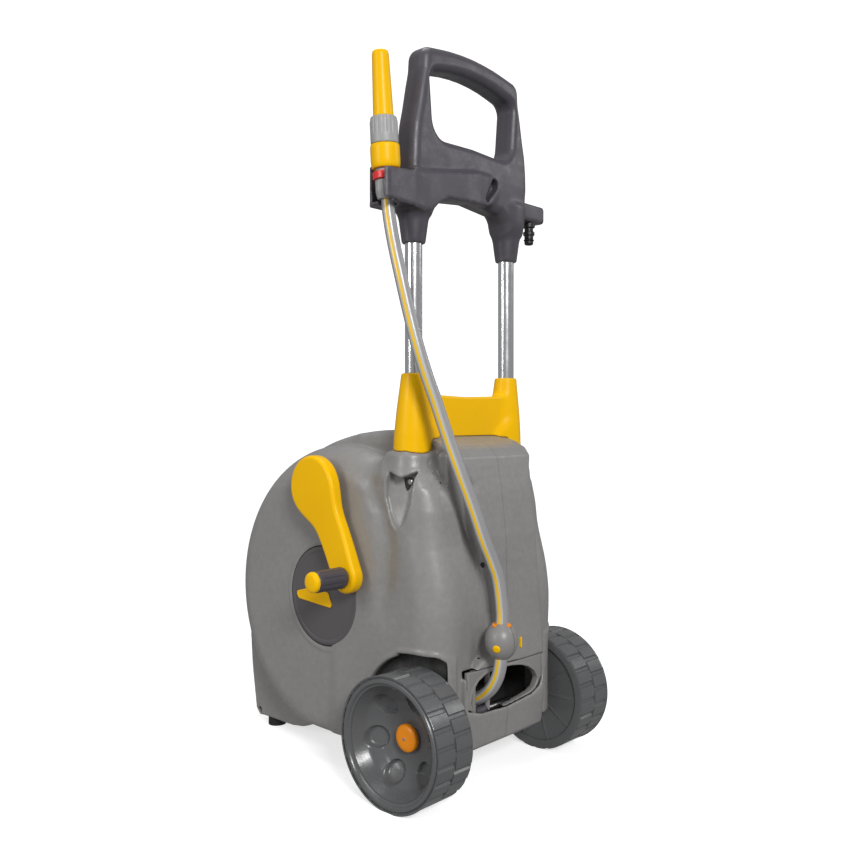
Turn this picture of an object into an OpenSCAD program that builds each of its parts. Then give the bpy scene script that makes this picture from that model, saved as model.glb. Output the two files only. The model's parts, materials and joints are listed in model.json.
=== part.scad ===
// Enclosed hose reel cart: a two-wheeled casing that holds a geared drum of garden hose,
// with a pull-out handle that parks the hose's own nozzle. Millimetres, +Z up.
// The drawing is laid out from the point on the ground below the middle of the axle:
// X runs along the axle (-X is the crank's side) and Y runs from the hose outlet to the feet.
// place() then moves it so that the origin is the bottom centre of the whole cart.

/* [Wheels] */
// Diameter of each wheel over its tread
wheel_d = 158; // [150:1:160]
// Width of each wheel
wheel_w = 63; // [56:1:64]
// Distance between the outer faces of the two wheels
track_w = 352; // [350:1:353]
// Diameter of the steel axle
axle_d = 12; // [10:1:14]
// Number of tread lugs in each row
lug_count = 24; // [16:1:32]

/* [Body] */
// Width of the casing over its two flat sides
body_w = 250; // [250:1:251]
// Width of the raised middle part of the casing
keel_w = 156; // [154:1:157]
// Width of the flat panel down the front
panel_w = 110; // [104:1:114]
// Thickness of the moulded walls
wall = 3; // [2.5:0.1:3]
// Radius of the round drum housing
housing_r = 203; // [201:1:205]
// Radius of the dark cover on each side
cover_r = 65; // [50:1:70]
// Height of the feet
foot_h = 12; // [10:1:13]

/* [Reel] */
// Outside diameter of the hose
hose_d = 16; // [15:0.5:16]
// Radius of the drum's flanges
flange_r = 150; // [145:1:151]
// Radius of the hose pack wound on the drum
pack_r = 142; // [120:1:142]
// Radius of the drum's core
core_r = 45; // [40:1:48]
// Gear module
gear_m = 3; // [3:3]
// Teeth on the drum's gear
gear_teeth = 72; // [72:72]
// Teeth on the crank's pinion
pinion_teeth = 25; // [25:25]

/* [Crank] */
// Distance from the crank's axis to its grip
arm_len = 128; // [110:1:130]
// Angle at which the arm rests, away from straight down
arm_tilt = 30; // [0:5:40]
// Radius of the crank's round boss
boss_r = 39; // [34:1:40]
// Radius of the crank's grip
grip_r = 13.5; // [12:0.5:15]

/* [Handle] */
// Height from the ground to the top of the handle, pulled out
overall_h = 930; // [926:1:934]
// Outside diameter of the two handle tubes
tube_d = 22; // [22:22]
// Distance between the handle tubes
tube_pitch = 188; // [188:188]
// Thickness of the handle, front to back
handle_t = 36; // [34:1:38]

/* [Hidden] */
$fn = 64;

// Running clearance of a shaft in its bore, and the gap left between moving neighbours
run = 0.05;
gap = 0.3;

// Axle and wheels
axle_z = wheel_d / 2;
axle_r = axle_d / 2;
wheel_out = track_w / 2;
wheel_in = wheel_out - wheel_w;
hub_end = wheel_out - 36;
hub_cap_end = hub_end + 8;
pocket_r = 94;
pocket_x = wheel_in - 3.5;

// Casing
half_w = body_w / 2;
keel_x = keel_w / 2;
panel_x = panel_w / 2;
lobe_y = -31;
seat_z = 415;
seat_y = [6, 64];
housing_y = 168;
housing_z = 220;
rim_r = 45;

// Reel and crank axes
drum_y = 168;
drum_z = 224;
crank_z = drum_z + gear_m * (gear_teeth + pinion_teeth) / 2;
pack_x = 73.5;
flange_x = 78;
hub_r = 22;
stub_r = 14;
gear_x = [-96, -86];
pack_wall = 12.5;

// Crank arm, from its inner face to its outer face
arm_x = [-151, -133];
grip_y = drum_y - arm_len * sin(arm_tilt);
grip_z = crank_z - arm_len * cos(arm_tilt);
grip_end = -205;

// Handle
tube_r = tube_d / 2;
tube_x = tube_pitch / 2;
tube_y = 35;
tube_low = 300;
tube_top = 760;
collar_z = 679;
tower_z = 515;
lug_end = 177;

// Nozzle, parked at a slight lean beside the handle
nozzle_at = [-143.5, 32, 735];
nozzle_lean = 4;

// Hose outlet and its guide
guide_x = -43.5;
guide_y = -31;
post_gap = 28;
post_r = 3.5;
roller_z = 95;
window_x = 76;
window_z = [88, 150];
stop_at = [-43, -64, 188];
stop_r = 23;

// The cart's own box, which sets the origin
low_x = grip_end;
high_x = lug_end;
low_y = -axle_z;
high_y = 397;

module place() translate([-(low_x + high_x) / 2, -(low_y + high_y) / 2, 0]) children();

// ---- Drawing aids ----

// A flat outline in (Y, Z), given thickness along X
module slab_x(x0, x1) translate([x0, 0, 0]) rotate([90, 0, 90]) linear_extrude(x1 - x0) children();

// A flat outline in (X, Z), given thickness along Y
module slab_y(y0, y1) translate([0, y1, 0]) rotate([90, 0, 0]) linear_extrude(y1 - y0) children();

// A round bar along X, Y or Z
module bar_x(y, z, r, x0, x1) translate([x0, y, z]) rotate([0, 90, 0]) cylinder(r = r, h = x1 - x0);
module bar_y(x, z, r, y0, y1) translate([x, y1, z]) rotate([90, 0, 0]) cylinder(r = r, h = y1 - y0);
module bar_z(x, y, r, z0, z1) translate([x, y, z0]) cylinder(r = r, h = z1 - z0);

// A profile of (radius, X) points turned about an axis along X
module turned_x(y, z, points) translate([0, y, z]) rotate([0, 90, 0]) rotate_extrude() polygon(points);

module box(low, high) translate(low) cube(high - low);
module both_sides() {
    children();
    mirror([1, 0, 0]) children();
}

function unit(v) = v / norm(v);
function left_of(v) = [-v[1], v[0]];
function arc(centre, r, a0, a1, n) =
    [for (i = [0:n]) let (a = a0 + (a1 - a0) * i / n) [centre[0] + r * cos(a), centre[1] + r * sin(a)]];
function oval(centre, rx, ry, a0, a1, n) =
    [for (i = [0:n]) let (a = a0 + (a1 - a0) * i / n) [centre[0] + rx * cos(a), centre[1] + ry * sin(a)]];
function mirrored(points) = [for (i = [len(points) - 1:-1:0]) [-points[i][0], points[i][1]]];

// An anticlockwise outline moved inwards by d
function inset(p, d) = let (n = len(p)) [for (i = [0:n - 1])
    let (u = unit(p[i] - p[(i + n - 1) % n]), v = unit(p[(i + 1) % n] - p[i]))
    p[i] + d * (left_of(u) + left_of(v)) / (1 + u * v)];

// ---- Casing ----

// Side outline of the raised middle part, anticlockwise in (Y, Z)
keel_outline = concat(
    [[-37, 54], [-24, 46], [60, 40], [180, 40], [205, 40], [270, foot_h + 3], [292, foot_h],
     [368, foot_h], [377, foot_h + 8], [386, 75], [393, 130]],
    oval([87, 211], high_y - 87, 232, 0, 90, 24),
    [[60, 442], [20, 433], [-12, 421], [-23, 410], [-31, 367], [-38, 310], [-40, 241], [-42, 95]]);

// Front line of the columns, which lean back as they rise, as (Y, Z)
column_front = [[lobe_y, 225], [-27, 255], [-20, 300], [-16, 345]];

// Side outline of the front columns that carry the handle tubes
column_outline = concat(
    [[-31, 62], [-18, 46], [100, 41], [160, 41], [160, 300], [66, seat_z], [8, seat_z]],
    [[-5, 397], [-13, 375], column_front[3], column_front[2], column_front[1], column_front[0]]);

// Plan outline of the left column, anticlockwise in (X, Y)
column_r = 35;
function column_plan(half, front) = concat(
    [[-half, 160]], arc([-half + column_r, front + column_r], column_r, 180, 270, 8),
    [[-panel_x + 8, front], [-panel_x + 8, 160]]);

// Outline of the drum housing in (radius, X); cut = 0 outside and the wall inside
function housing_profile(cut) = concat([[0, -half_w + cut]],
    oval([housing_r - rim_r, -half_w + 40], rim_r - cut, 40 - cut, -90, 0, 8),
    oval([housing_r - rim_r, half_w - 40], rim_r - cut, 40 - cut, 0, 90, 8),
    [[0, half_w - cut]]);

// The casing as one lump, moved inwards by cut
module casing_lump(cut) {
    difference() {
        slab_x(-keel_x + cut, keel_x - cut) polygon(inset(keel_outline, cut));
        both_sides() {
            slab_x(panel_x - cut, keel_x + 2) translate([cut, 0]) polygon(concat(
                [[-60, 500], [-60, 0], [lobe_y, 0]], column_front, [[-16, 500]]));
            box([panel_x + 8 - cut, -60, seat_z - cut], [keel_x + 2, seat_y[1] + cut, 500]);
        }
    }
    difference() {
        turned_x(housing_y, housing_z, housing_profile(cut));
        box([-200, -60, 0], [200, 460, 41 + cut]);
    }
    both_sides() intersection() {
        slab_x(-half_w + cut, 0) polygon(inset(column_outline, cut));
        linear_extrude(seat_z) polygon(column_plan(half_w - cut, lobe_y + cut));
    }
}

// Screws across the seam, as (Y, Z)
screw_at = [[-33, 277], [10, 423], [150, 431], [284, 380], [388, 230], [366, 20], [240, 34], [60, 47]];
boss_or = 7;

module wheel_pocket(r, x) both_sides() bar_x(0, axle_z, r, x, 220);

module casing() {
    difference() {
        casing_lump(0);
        difference() {
            casing_lump(wall);
            wheel_pocket(pocket_r + wall, pocket_x - 2.5);
            for (at = screw_at) bar_x(at[0], at[1], boss_or, -half_w, 42);
            both_sides() {
                bar_x(0, axle_z, 14, 92, pocket_x);
                bar_z(tube_x, tube_y, tube_r + 4, seat_z - 9, seat_z);
            }
            bar_x(drum_y, drum_z, stub_r, -half_w, -101);
            bar_x(drum_y, drum_z, stub_r + 8, 112, half_w);
            bar_x(drum_y, crank_z, 18, -half_w, -104);
        }
        wheel_pocket(pocket_r, pocket_x);
        bar_x(0, axle_z, axle_r, -150, 150);
        both_sides() bar_z(tube_x, tube_y, tube_r + 0.3, seat_z - 20, seat_z + 20);
        box([-window_x, -60, window_z[0]], [window_x, -24, window_z[1]]);
        both_sides() bar_z(tube_x, bracket_screw_y, 2.1, seat_z - 10, seat_z + 1);
        bar_x(drum_y, drum_z, stub_r, 104, 150);
        bar_x(drum_y, crank_z, 12, -150, -90);
        for (at = screw_at) {
            bar_x(at[0], at[1], 4.6, -160, -40);
            bar_x(at[0], at[1], 2.2, -45, 0);
            bar_x(at[0], at[1], 2, -1, 30);
        }
        both_sides() boat_recess();
    }
}

// Pointed recess in the side of each column
module boat_recess() slab_x(half_w - 2, half_w + 2) intersection() {
    translate([6, 357]) circle(r = 40);
    translate([54, 357]) circle(r = 40);
}

module left_shell() color([0.55, 0.54, 0.535]) place() intersection() {
    casing();
    box([-300, -200, 0], [0, 600, 600]);
}

module right_shell() color([0.55, 0.54, 0.535]) place() intersection() {
    casing();
    box([0, -200, 0], [300, 600, 600]);
}

module shell_screws() color("silver") place() for (at = screw_at) {
    bar_x(at[0], at[1], 2, -40, 25);
    bar_x(at[0], at[1], 4, -43, -40);
}

module left_cover() color([0.34, 0.33, 0.35]) place()
    bar_x(drum_y, drum_z, cover_r, -half_w - 4, -half_w);

module right_cover() color([0.34, 0.33, 0.35]) place() difference() {
    bar_x(drum_y, drum_z, cover_r, half_w, half_w + 4);
    bar_x(drum_y, drum_z, stub_r + 4, half_w - 1, half_w + 5);
}

// Plain rounded plate on the left cover
module cover_badge() color([0.95, 0.7, 0.15]) place()
    slab_x(-half_w - 5.5, -half_w - 4) translate([drum_y + 12, drum_z - 4]) {
        square([48, 20], center = true);
        for (side = [-1, 1]) translate([side * 24, 0]) circle(d = 20);
    }

module feet() color([0.12, 0.12, 0.12]) place() both_sides() bar_z(65, 345, 13, 0, foot_h);

// ---- Handle bracket ----

bracket_plate_y = [24, 48];
tower_y = tube_y + 2;
bracket_screw_y = 55;

module handle_bracket() color([1, 0.72, 0.05]) place() difference() {
    union() {
        both_sides() {
            translate([tube_x, tower_y, seat_z]) cylinder(r1 = 23, r2 = 21, h = 42);
            translate([tube_x, tower_y, seat_z + 42]) cylinder(r1 = 21, r2 = 15.5, h = tower_z - seat_z - 42);
        }
        slab_y(bracket_plate_y[0], bracket_plate_y[1]) polygon([[-88, seat_z], [88, seat_z],
            [88, 489], [0, 487], [-88, 489]]);
    }
    both_sides() {
        bar_z(tube_x, tube_y, tube_r + run, seat_z - 5, tower_z + 5);
        bar_z(tube_x, bracket_screw_y, 2.1, seat_z - 5, seat_z + 20);
    }
    intersection() {
        slab_x(-keel_x, keel_x) polygon(keel_outline);
        box([-panel_x - 8, -60, 0], [panel_x + 8, 300, 600]);
    }
}

// Screws that come up from inside the casing into the bracket
module bracket_screws() color("silver") place() both_sides() {
    bar_z(tube_x, bracket_screw_y, 2.1, seat_z - wall, seat_z + 18);
    bar_z(tube_x, bracket_screw_y, 3.8, seat_z - wall - 2.5, seat_z - wall);
}

module tube_guides() color([0.2, 0.2, 0.2]) place() both_sides() difference() {
    bar_z(tube_x, tube_y, tube_r + 3.5, tube_low, seat_z - 9);
    bar_z(tube_x, tube_y, tube_r + run, tube_low - 1, seat_z);
}

// ---- Hose outlet ----

bezel_y = [-37, -30];
module bezel_hole() {
    translate([-46, 120]) circle(r = 24);
    translate([48, 120]) circle(r = 22);
    polygon([[-46, 96], [48, 98], [48, 142], [-46, 144]]);
}

module outlet_bezel() color([0.55, 0.54, 0.53]) place() {
    difference() {
        union() {
            slab_y(bezel_y[0] + 0.01, bezel_y[1]) difference() {
                translate([-51, 86]) square([102, 68]);
                bezel_hole();
            }
            for (side = [-1, 1]) slab_y(bezel_y[0] + 0.01, lobe_y - 0.2) difference() {
                translate([side > 0 ? 48 : -72, window_z[0] + 0.5]) square([24, 61]);
                bezel_hole();
            }
            for (side = [-1, 1]) bar_z(guide_x + side * post_gap / 2, guide_y, post_r,
                window_z[0] + 0.5, window_z[1] - 0.5);
        }
        bar_x(guide_y, roller_z, 2, guide_x - 20, guide_x + 20);
        box([guide_x - 10.3, -40, window_z[0] + 0.5], [guide_x + 10.3, -20, roller_z + 8]);
    }
}

module roller_pin() color("silver") place()
    bar_x(guide_y, roller_z, 2, guide_x - post_gap / 2 - 3, guide_x + post_gap / 2 + 3);

module guide_roller() color([0.3, 0.3, 0.32]) place() difference() {
    turned_x(guide_y, roller_z, [[0, -9.8 + guide_x], [4, -9.8 + guide_x], [6, -5 + guide_x],
        [6, 5 + guide_x], [4, 9.8 + guide_x], [0, 9.8 + guide_x]]);
    bar_x(guide_y, roller_z, 2 + run, guide_x - 20, guide_x + 20);
}

// ---- Axle and wheels ----

module axle() color("silver") place() {
    bar_x(0, axle_z, axle_r, -hub_end - 2, hub_end + 2);
    both_sides() bar_x(0, axle_z, 2.5, hub_end + 2, hub_cap_end - 0.5);
}

module axle_clips() color("silver") place() both_sides() difference() {
    bar_x(0, axle_z, 10, hub_end + 0.2, hub_end + 1.6);
    bar_x(0, axle_z, axle_r, hub_end, hub_end + 3);
}

// Right-hand wheel: tread band, dished web with six scoops, and hub
module wheel() difference() {
    turned_x(0, axle_z, [[axle_r + run, wheel_in + 1], [16, wheel_in + 1], [16, wheel_out - 45],
        [30, wheel_out - 44], [45, wheel_out - 39], [58, wheel_out - 30], [64, wheel_out - 20],
        [66, wheel_in], [axle_z, wheel_in], [axle_z, wheel_out - 3], [axle_z - 3, wheel_out],
        [68, wheel_out], [65, wheel_out - 4], [62, wheel_out - 14], [57, wheel_out - 22],
        [44, wheel_out - 31.5], [30, wheel_out - 37], [16, wheel_out - 39], [13.9, wheel_out - 39],
        [13.9, hub_end], [axle_r + run, hub_end]]);
    for (i = [0:5]) rotate_about_axle(i * 60 + 50)
        translate([wheel_out - 13.2, 38.4, axle_z]) sphere(r = 22);
    for (i = [0:lug_count - 1]) {
        tread_groove(i * 360 / lug_count, wheel_in - 1, wheel_in + wheel_w / 2 - 1);
        tread_groove((i + 0.5) * 360 / lug_count, wheel_in + wheel_w / 2 + 1, wheel_out + 1);
    }
}

module rotate_about_axle(angle) translate([0, 0, axle_z]) rotate([angle, 0, 0])
    translate([0, 0, -axle_z]) children();

module tread_groove(angle, x0, x1) rotate_about_axle(angle)
    box([x0, -2.5, 2 * axle_z - 3], [x1, 2.5, 2 * axle_z + 5]);

// Domed cap that snaps over the hub
module hub_cap() turned_x(0, axle_z, concat([[2.6, hub_cap_end - 5]],
    [[13.95, hub_cap_end - 5], [13.95, hub_end - 2.8], [16, hub_end - 2.8], [16, hub_cap_end - 4]],
    oval([0, hub_cap_end - 4], 16, 4, 20, 80, 5), [[2.6, hub_cap_end]]));

module wheel_right() color([0.33, 0.33, 0.34]) place() wheel();
module wheel_left() color([0.33, 0.33, 0.34]) place() mirror([1, 0, 0]) wheel();
module hub_cap_right() color([1, 0.7, 0.05]) place() hub_cap();
module hub_cap_left() color([1, 0.7, 0.05]) place() mirror([1, 0, 0]) hub_cap();

// ---- Drum ----

module drum_core() color([0.3, 0.3, 0.32]) place() difference() {
    turned_x(drum_y, drum_z, [[stub_r + run, -100], [hub_r, -100], [hub_r, -74], [core_r, -74],
        [core_r, 74], [hub_r, 74], [hub_r, 103], [stub_r + run, 103], [stub_r + run, 70],
        [core_r - 3, 70], [core_r - 3, -70], [stub_r + run, -70]]);
    bar_z(20, drum_y, 6, drum_z + 30, drum_z + 60);
}

module flange(x0, x1) difference() {
    bar_x(drum_y, drum_z, flange_r, x0, x1);
    bar_x(drum_y, drum_z, hub_r + run, x0 - 1, x1 + 1);
    for (i = [0:5]) translate([0, drum_y, drum_z]) rotate([i * 60 + 30, 0, 0])
        bar_x(97, 0, 26, x0 - 1, x1 + 1);
}

module drum_flange_left() color([0.3, 0.3, 0.32]) place() flange(-flange_x, -74);
module drum_flange_right() color([0.3, 0.3, 0.32]) place() flange(74, flange_x);

// Hollow, so that it weighs what the wound hose weighs
module wound_hose() color([0.75, 0.75, 0.74]) place() difference() {
    turned_x(drum_y, drum_z, [[core_r + run, -pack_x], [pack_r, -pack_x], [pack_r, pack_x],
        [core_r + run, pack_x]]);
    turned_x(drum_y, drum_z, [[core_r + pack_wall, -pack_x + pack_wall],
        [pack_r - pack_wall, -pack_x + pack_wall], [pack_r - pack_wall, pack_x - pack_wall],
        [core_r + pack_wall, pack_x - pack_wall]]);
}

// Water passage from the spindle to the start of the wound hose
module drum_elbow() color([0.2, 0.2, 0.2]) place() difference() {
    union() {
        bar_z(20, drum_y, 6 - run, drum_z, drum_z + core_r);
        bar_x(drum_y, drum_z, 9, 12, 68);
    }
    bar_z(20, drum_y, 4, drum_z, drum_z + core_r + 1);
    bar_x(drum_y, drum_z, 5, 20, 70);
}

// ---- Gears ----

pressure = 20;
backlash = 0.25;
function involute(rb, t) = [rb * (cos(t) + t * PI / 180 * sin(t)), rb * (sin(t) - t * PI / 180 * cos(t))];
function roll_to(rb, r) = sqrt(pow(r / rb, 2) - 1) * 180 / PI;
function turn(p, a) = [p[0] * cos(a) - p[1] * sin(a), p[0] * sin(a) + p[1] * cos(a)];

// One tooth of a gear with n teeth, centred on the angle a
function tooth(n, a) = let (
    r = gear_m * n / 2, rb = r * cos(pressure), ra = r + gear_m, rf = r - 1.25 * gear_m,
    half = 90 / n - backlash / 4 / r * 180 / PI, at_pitch = roll_to(rb, r),
    skew = at_pitch - atan(at_pitch * PI / 180), t0 = rf > rb ? roll_to(rb, rf) : 0,
    t1 = roll_to(rb, ra), flank = [for (i = [0:4]) turn(involute(rb, t0 + (t1 - t0) * i / 4),
        -half - skew)],
    root = rf > rb ? [] : [rf * unit(flank[0])],
    rise = concat(root, flank), fall = [for (i = [len(rise) - 1:-1:0]) [rise[i][0], -rise[i][1]]])
    [for (p = concat(rise, fall)) turn(p, a)];

module spur(n, y, z, x0, x1) slab_x(x0, x1) translate([y, z])
    polygon([for (i = [0:n - 1]) for (p = tooth(n, 90 + i * 360 / n)) p]);

module drum_gear() color([0.85, 0.85, 0.8]) place() difference() {
    union() {
        spur(gear_teeth, drum_y, drum_z, gear_x[0], gear_x[1]);
        bar_x(drum_y, drum_z, 60, gear_x[1], -flange_x);
    }
    bar_x(drum_y, drum_z, hub_r + run, -120, -70);
    for (i = [0:5]) translate([0, drum_y, drum_z]) rotate([i * 60, 0, 0]) bar_x(80, 0, 15, -100, -80);
}

module crank_pinion() color([0.85, 0.85, 0.8]) place() difference() {
    spur(pinion_teeth, drum_y, crank_z, gear_x[0] - 1, gear_x[1] + 1);
    bar_x(drum_y, crank_z, 8, -120, -70);
}

// ---- Crank ----

module crank_bush() color([0.15, 0.15, 0.15]) place() difference() {
    union() {
        bar_x(drum_y, crank_z, 12, -half_w - 1, -101);
        bar_x(drum_y, crank_z, 16, -half_w - 4, -half_w);
    }
    bar_x(drum_y, crank_z, 8 + run, -150, -90);
}

module crank_shaft() color("silver") place() bar_x(drum_y, crank_z, 8, -146, gear_x[1] + 2);

// Sides of the arm run straight between the boss and the round end
arm_end_r = 21;
module arm_outline() {
    lean = atan2(grip_z - crank_z, grip_y - drum_y);
    waist = boss_r - 9;
    translate([drum_y, crank_z]) circle(r = boss_r);
    translate([grip_y, grip_z]) circle(r = arm_end_r);
    translate([drum_y, crank_z]) rotate(lean)
        polygon([[0, waist], [0, -waist], [arm_len, -arm_end_r], [arm_len, arm_end_r]]);
}

module crank_arm() color([1, 0.74, 0.05]) place() difference() {
    slab_x(arm_x[0], arm_x[1]) arm_outline();
    difference() {
        bar_x(drum_y, crank_z, 30, arm_x[1] - 12, arm_x[1] + 1);
        bar_x(drum_y, crank_z, 14, arm_x[1] - 13, arm_x[1] + 2);
    }
    bar_x(drum_y, crank_z, 8, -146, -120);
    bar_x(grip_y, grip_z, 5, -160, arm_x[1] + 1);
}

module grip_pin() color("silver") place() bar_x(grip_y, grip_z, 5, grip_end + 4, arm_x[1]);

module crank_grip() color([0.3, 0.3, 0.33]) place() difference() {
    bar_x(grip_y, grip_z, grip_r, grip_end + 7, arm_x[0] - gap);
    bar_x(grip_y, grip_z, 5 + run, grip_end, arm_x[0] + 1);
}

module grip_cap() color([1, 0.74, 0.05]) place() difference() {
    bar_x(grip_y, grip_z, grip_r - 0.5, grip_end, grip_end + 6.7);
    bar_x(grip_y, grip_z, 5, grip_end + 4, grip_end + 8);
}

// ---- Water inlet on the far side ----

module inlet_spindle() color([0.2, 0.2, 0.2]) place() difference() {
    union() {
        bar_x(drum_y, drum_z, stub_r, 72, 140);
        bar_x(drum_y, drum_z, stub_r + 3.5, half_w, half_w + 4);
    }
    bar_x(drum_y, drum_z, 5, 60, 160);
    for (x = [80, 90]) difference() {
        bar_x(drum_y, drum_z, stub_r + 1, x, x + 3);
        bar_x(drum_y, drum_z, stub_r - 2, x - 1, x + 4);
    }
}

module ring_x(y, z, r, thick, x) translate([x, y, z]) rotate([0, 90, 0])
    rotate_extrude() translate([r, 0]) circle(r = thick);

module spindle_seals() color([0.08, 0.08, 0.08]) place() for (x = [81.5, 91.5])
    ring_x(drum_y, drum_z, stub_r - 1.05, 0.95, x);

module inlet_elbow() color([0.15, 0.15, 0.15]) place() difference() {
    union() {
        bar_x(drum_y, drum_z, 18, half_w + 5, 157);
        bar_z(146, drum_y, 10, drum_z - 34, drum_z);
        bar_z(146, drum_y, 8, drum_z - 56, drum_z - 30);
    }
    bar_x(drum_y, drum_z, stub_r + run, half_w + 4, 140.5);
    bar_z(146, drum_y, 4.5, drum_z - 60, drum_z);
    ring_groove_z(146, drum_y, 8, drum_z - 50);
}

module ring_groove_z(x, y, r, z) difference() {
    bar_z(x, y, r + 1, z, z + 3);
    bar_z(x, y, r - 1.5, z - 1, z + 4);
}

// ---- Handle ----

// Right half of the handle's outline in (X, Z), from the foot of the leg to the top
handle_side = concat([[79, collar_z], [109, collar_z], [109, 700], [113, 725], [116, 750],
    [117, 775], [116, 800], [113.5, 822], [108, 845], [103, 870], [98, 892]],
    arc([80, overall_h - 25], 17, 0, 72, 5), [[50, overall_h - 3]]);
handle_arch = [[-79, 700], [-76, 712], [-70, 726], [-58, 735], [0, 741], [58, 735], [70, 726],
    [76, 712], [79, 700]];
handle_outline = concat(handle_side, [[0, overall_h]], mirrored(handle_side), handle_arch);
grip_hole = concat(oval([-55, 836], 24, 26, 180, 270, 5), [[0, 811]],
    oval([55, 836], 24, 26, 270, 360, 5), arc([70, 880], 13, 0, 80, 4), [[0, 902]],
    arc([-70, 880], 13, 100, 180, 4));
handle_wall = 3.5;
handle_y = [tube_y - handle_t / 2 - 4, tube_y + handle_t / 2 - 4];
holder_x = -167;
holder_z = [717, 767];

// One half of the handle, between y0 and y1, hollow towards the joint
module handle_half(y0, y1, hollow0, hollow1) difference() {
    union() {
        slab_y(y0, y1) difference() {
            polygon(handle_outline);
            polygon(grip_hole);
        }
        children();
    }
    slab_y(hollow0, hollow1) difference() {
        polygon(inset(handle_outline, handle_wall));
        polygon(inset(grip_hole, -handle_wall));
        for (side = [-1, 1]) translate([side * tube_x - 15, 600]) square([30, 165]);
        for (at = handle_screw_at) translate(at) circle(r = 6);
    }
    both_sides() bar_z(tube_x, tube_y, tube_r, collar_z - 1, tube_top);
    for (at = handle_screw_at) {
        bar_y(at[0], at[1], 2, 0, handle_y[1] - 6);
        bar_y(at[0], at[1], 4.2, handle_y[1] - 6, 70);
    }
}

handle_screw_at = [[-93, 858], [93, 858], [-102, 788], [102, 788], [0, 776]];

swelling_outline = [[-105, 740], [-60, 736], [22, 738], [56, 770], [50, 781], [-4, 779], [-52, 768],
    [-105, 766]];

module handle_front() color([0.33, 0.32, 0.35]) place() handle_half(handle_y[0], tube_y,
    handle_y[0] + handle_wall, tube_y + 1) {
    // Front swelling of the yoke, with a slanted slot at its right end
    difference() {
        intersection() {
            slab_y(handle_y[0] - 10, handle_y[0] + 1) polygon(swelling_outline);
            bar_z(-22, handle_y[0] + 241, 250, 700, 800);
        }
        slab_y(handle_y[0] - 13, handle_y[0]) translate([30, 760]) rotate(-41)
            square([11, 40], center = true);
    }
    // Front wall and floor of the nozzle holder
    box([holder_x, 9, holder_z[0]], [-100, 13, holder_z[1]]);
    difference() {
        box([holder_x + 6, 9, holder_z[0]], [-100, tube_y, holder_z[0] + 4]);
        hose_slot();
    }
    box([-112, 9, holder_z[0]], [-106, handle_y[0] + 1, holder_z[1]]);
    // Lug for the parking spigot
    box([108, 23, 741], [lug_end, tube_y, 765]);
}

module hose_slot() {
    bar_z(-142.5, 31, 10.5, 700, 730);
    box([-200, 20.5, 700], [-142.5, 41.5, 730]);
}

module handle_back() color([0.33, 0.32, 0.35]) place() handle_half(tube_y, handle_y[1],
    tube_y - 1, handle_y[1] - handle_wall) {
    box([-145, 57, holder_z[0]], [-100, 61, holder_z[1]]);
    difference() {
        box([-145, tube_y, holder_z[0]], [-100, 61, holder_z[0] + 4]);
        hose_slot();
    }
    box([-112, handle_y[1] - 1, holder_z[0]], [-106, 61, holder_z[1]]);
    box([108, tube_y, 741], [lug_end, 45, 765]);
}

module handle_screws() color("silver") place() for (at = handle_screw_at) {
    bar_y(at[0], at[1], 2, 20, handle_y[1] - 6);
    bar_y(at[0], at[1], 4, handle_y[1] - 6, handle_y[1] - 3);
}

module tube(x) color([0.82, 0.83, 0.85]) place() difference() {
    bar_z(x, tube_y, tube_r, tube_low, tube_top);
    bar_z(x, tube_y, tube_r - 1.2, tube_low - 1, tube_top + 1);
}
module left_tube() tube(-tube_x);
module right_tube() tube(tube_x);

module tube_plugs() color([0.15, 0.15, 0.15]) place() both_sides() {
    bar_z(tube_x, tube_y, tube_r - 1.2, tube_low, tube_low + 14);
    bar_z(tube_x, tube_y, tube_r, tube_low - 3, tube_low);
}

// Spare hose-end spigot that hangs under the handle's lug
spigot_at = [150, 35];
module parking_spigot() color([0.15, 0.15, 0.16]) place() difference() {
    union() {
        bar_z(spigot_at[0], spigot_at[1], 6.5, 709, 741);
        bar_z(spigot_at[0], spigot_at[1], 8.5, 738, 741);
    }
    ring_groove_z(spigot_at[0], spigot_at[1], 6.5, 714);
}

module spigot_seal() color([0.05, 0.05, 0.05]) place() translate([spigot_at[0], spigot_at[1], 715.5])
    rotate_extrude() translate([5.85, 0]) circle(r = 0.8);

// ---- Nozzle and hose connector, drawn upright and then leant ----

module leant() translate(nozzle_at) rotate([0, -nozzle_lean, 0]) children();
module on_nozzle() place() leant() children();
module turned_z(points) rotate_extrude() polygon(points);

module hose_nut() color([0.75, 0.75, 0.75]) on_nozzle()
    turned_z([[9, -12], [13, -12], [15, 2], [15, 16.8], [8.5, 16.8], [8.5, 0]]);

module connector_body() color([0.7, 0.7, 0.7]) on_nozzle()
    turned_z([[4.5, 2], [8.3, 2], [8.3, 17], [13, 17], [13, 45], [8, 45], [8, 30], [4.5, 30]]);

module connector_ring() color([0.9, 0.16, 0.16]) on_nozzle()
    turned_z([[13.1, 16.8], [16.5, 17.2], [16.5, 26], [13.1, 26]]);

module connector_sleeve() color([1, 0.76, 0.05]) on_nozzle()
    turned_z([[13.1, 30], [17, 30], [18, 36], [18, 56], [17, 58.6], [13.1, 58.6]]);

module nozzle_collar() color([0.6, 0.6, 0.6]) on_nozzle() difference() {
    turned_z([[8.2, 59], [17, 59], [17, 86], [15.5, 91], [8.2, 91]]);
    for (i = [0:17]) rotate(i * 20) translate([17, 0, 70]) cylinder(r = 1, h = 22);
}

module nozzle_barrel() color([1, 0.76, 0.05]) on_nozzle()
    turned_z([[3, 91.3], [12.5, 91.3], [10.2, 166], [9, 169.5], [3, 169.5]]);

module nozzle_core() color([0.2, 0.2, 0.2]) on_nozzle()
    turned_z([[4, 34], [7.5, 34], [7.9, 58], [7.9, 90.8], [4, 90.8]]);

// ---- Hose ----

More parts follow.
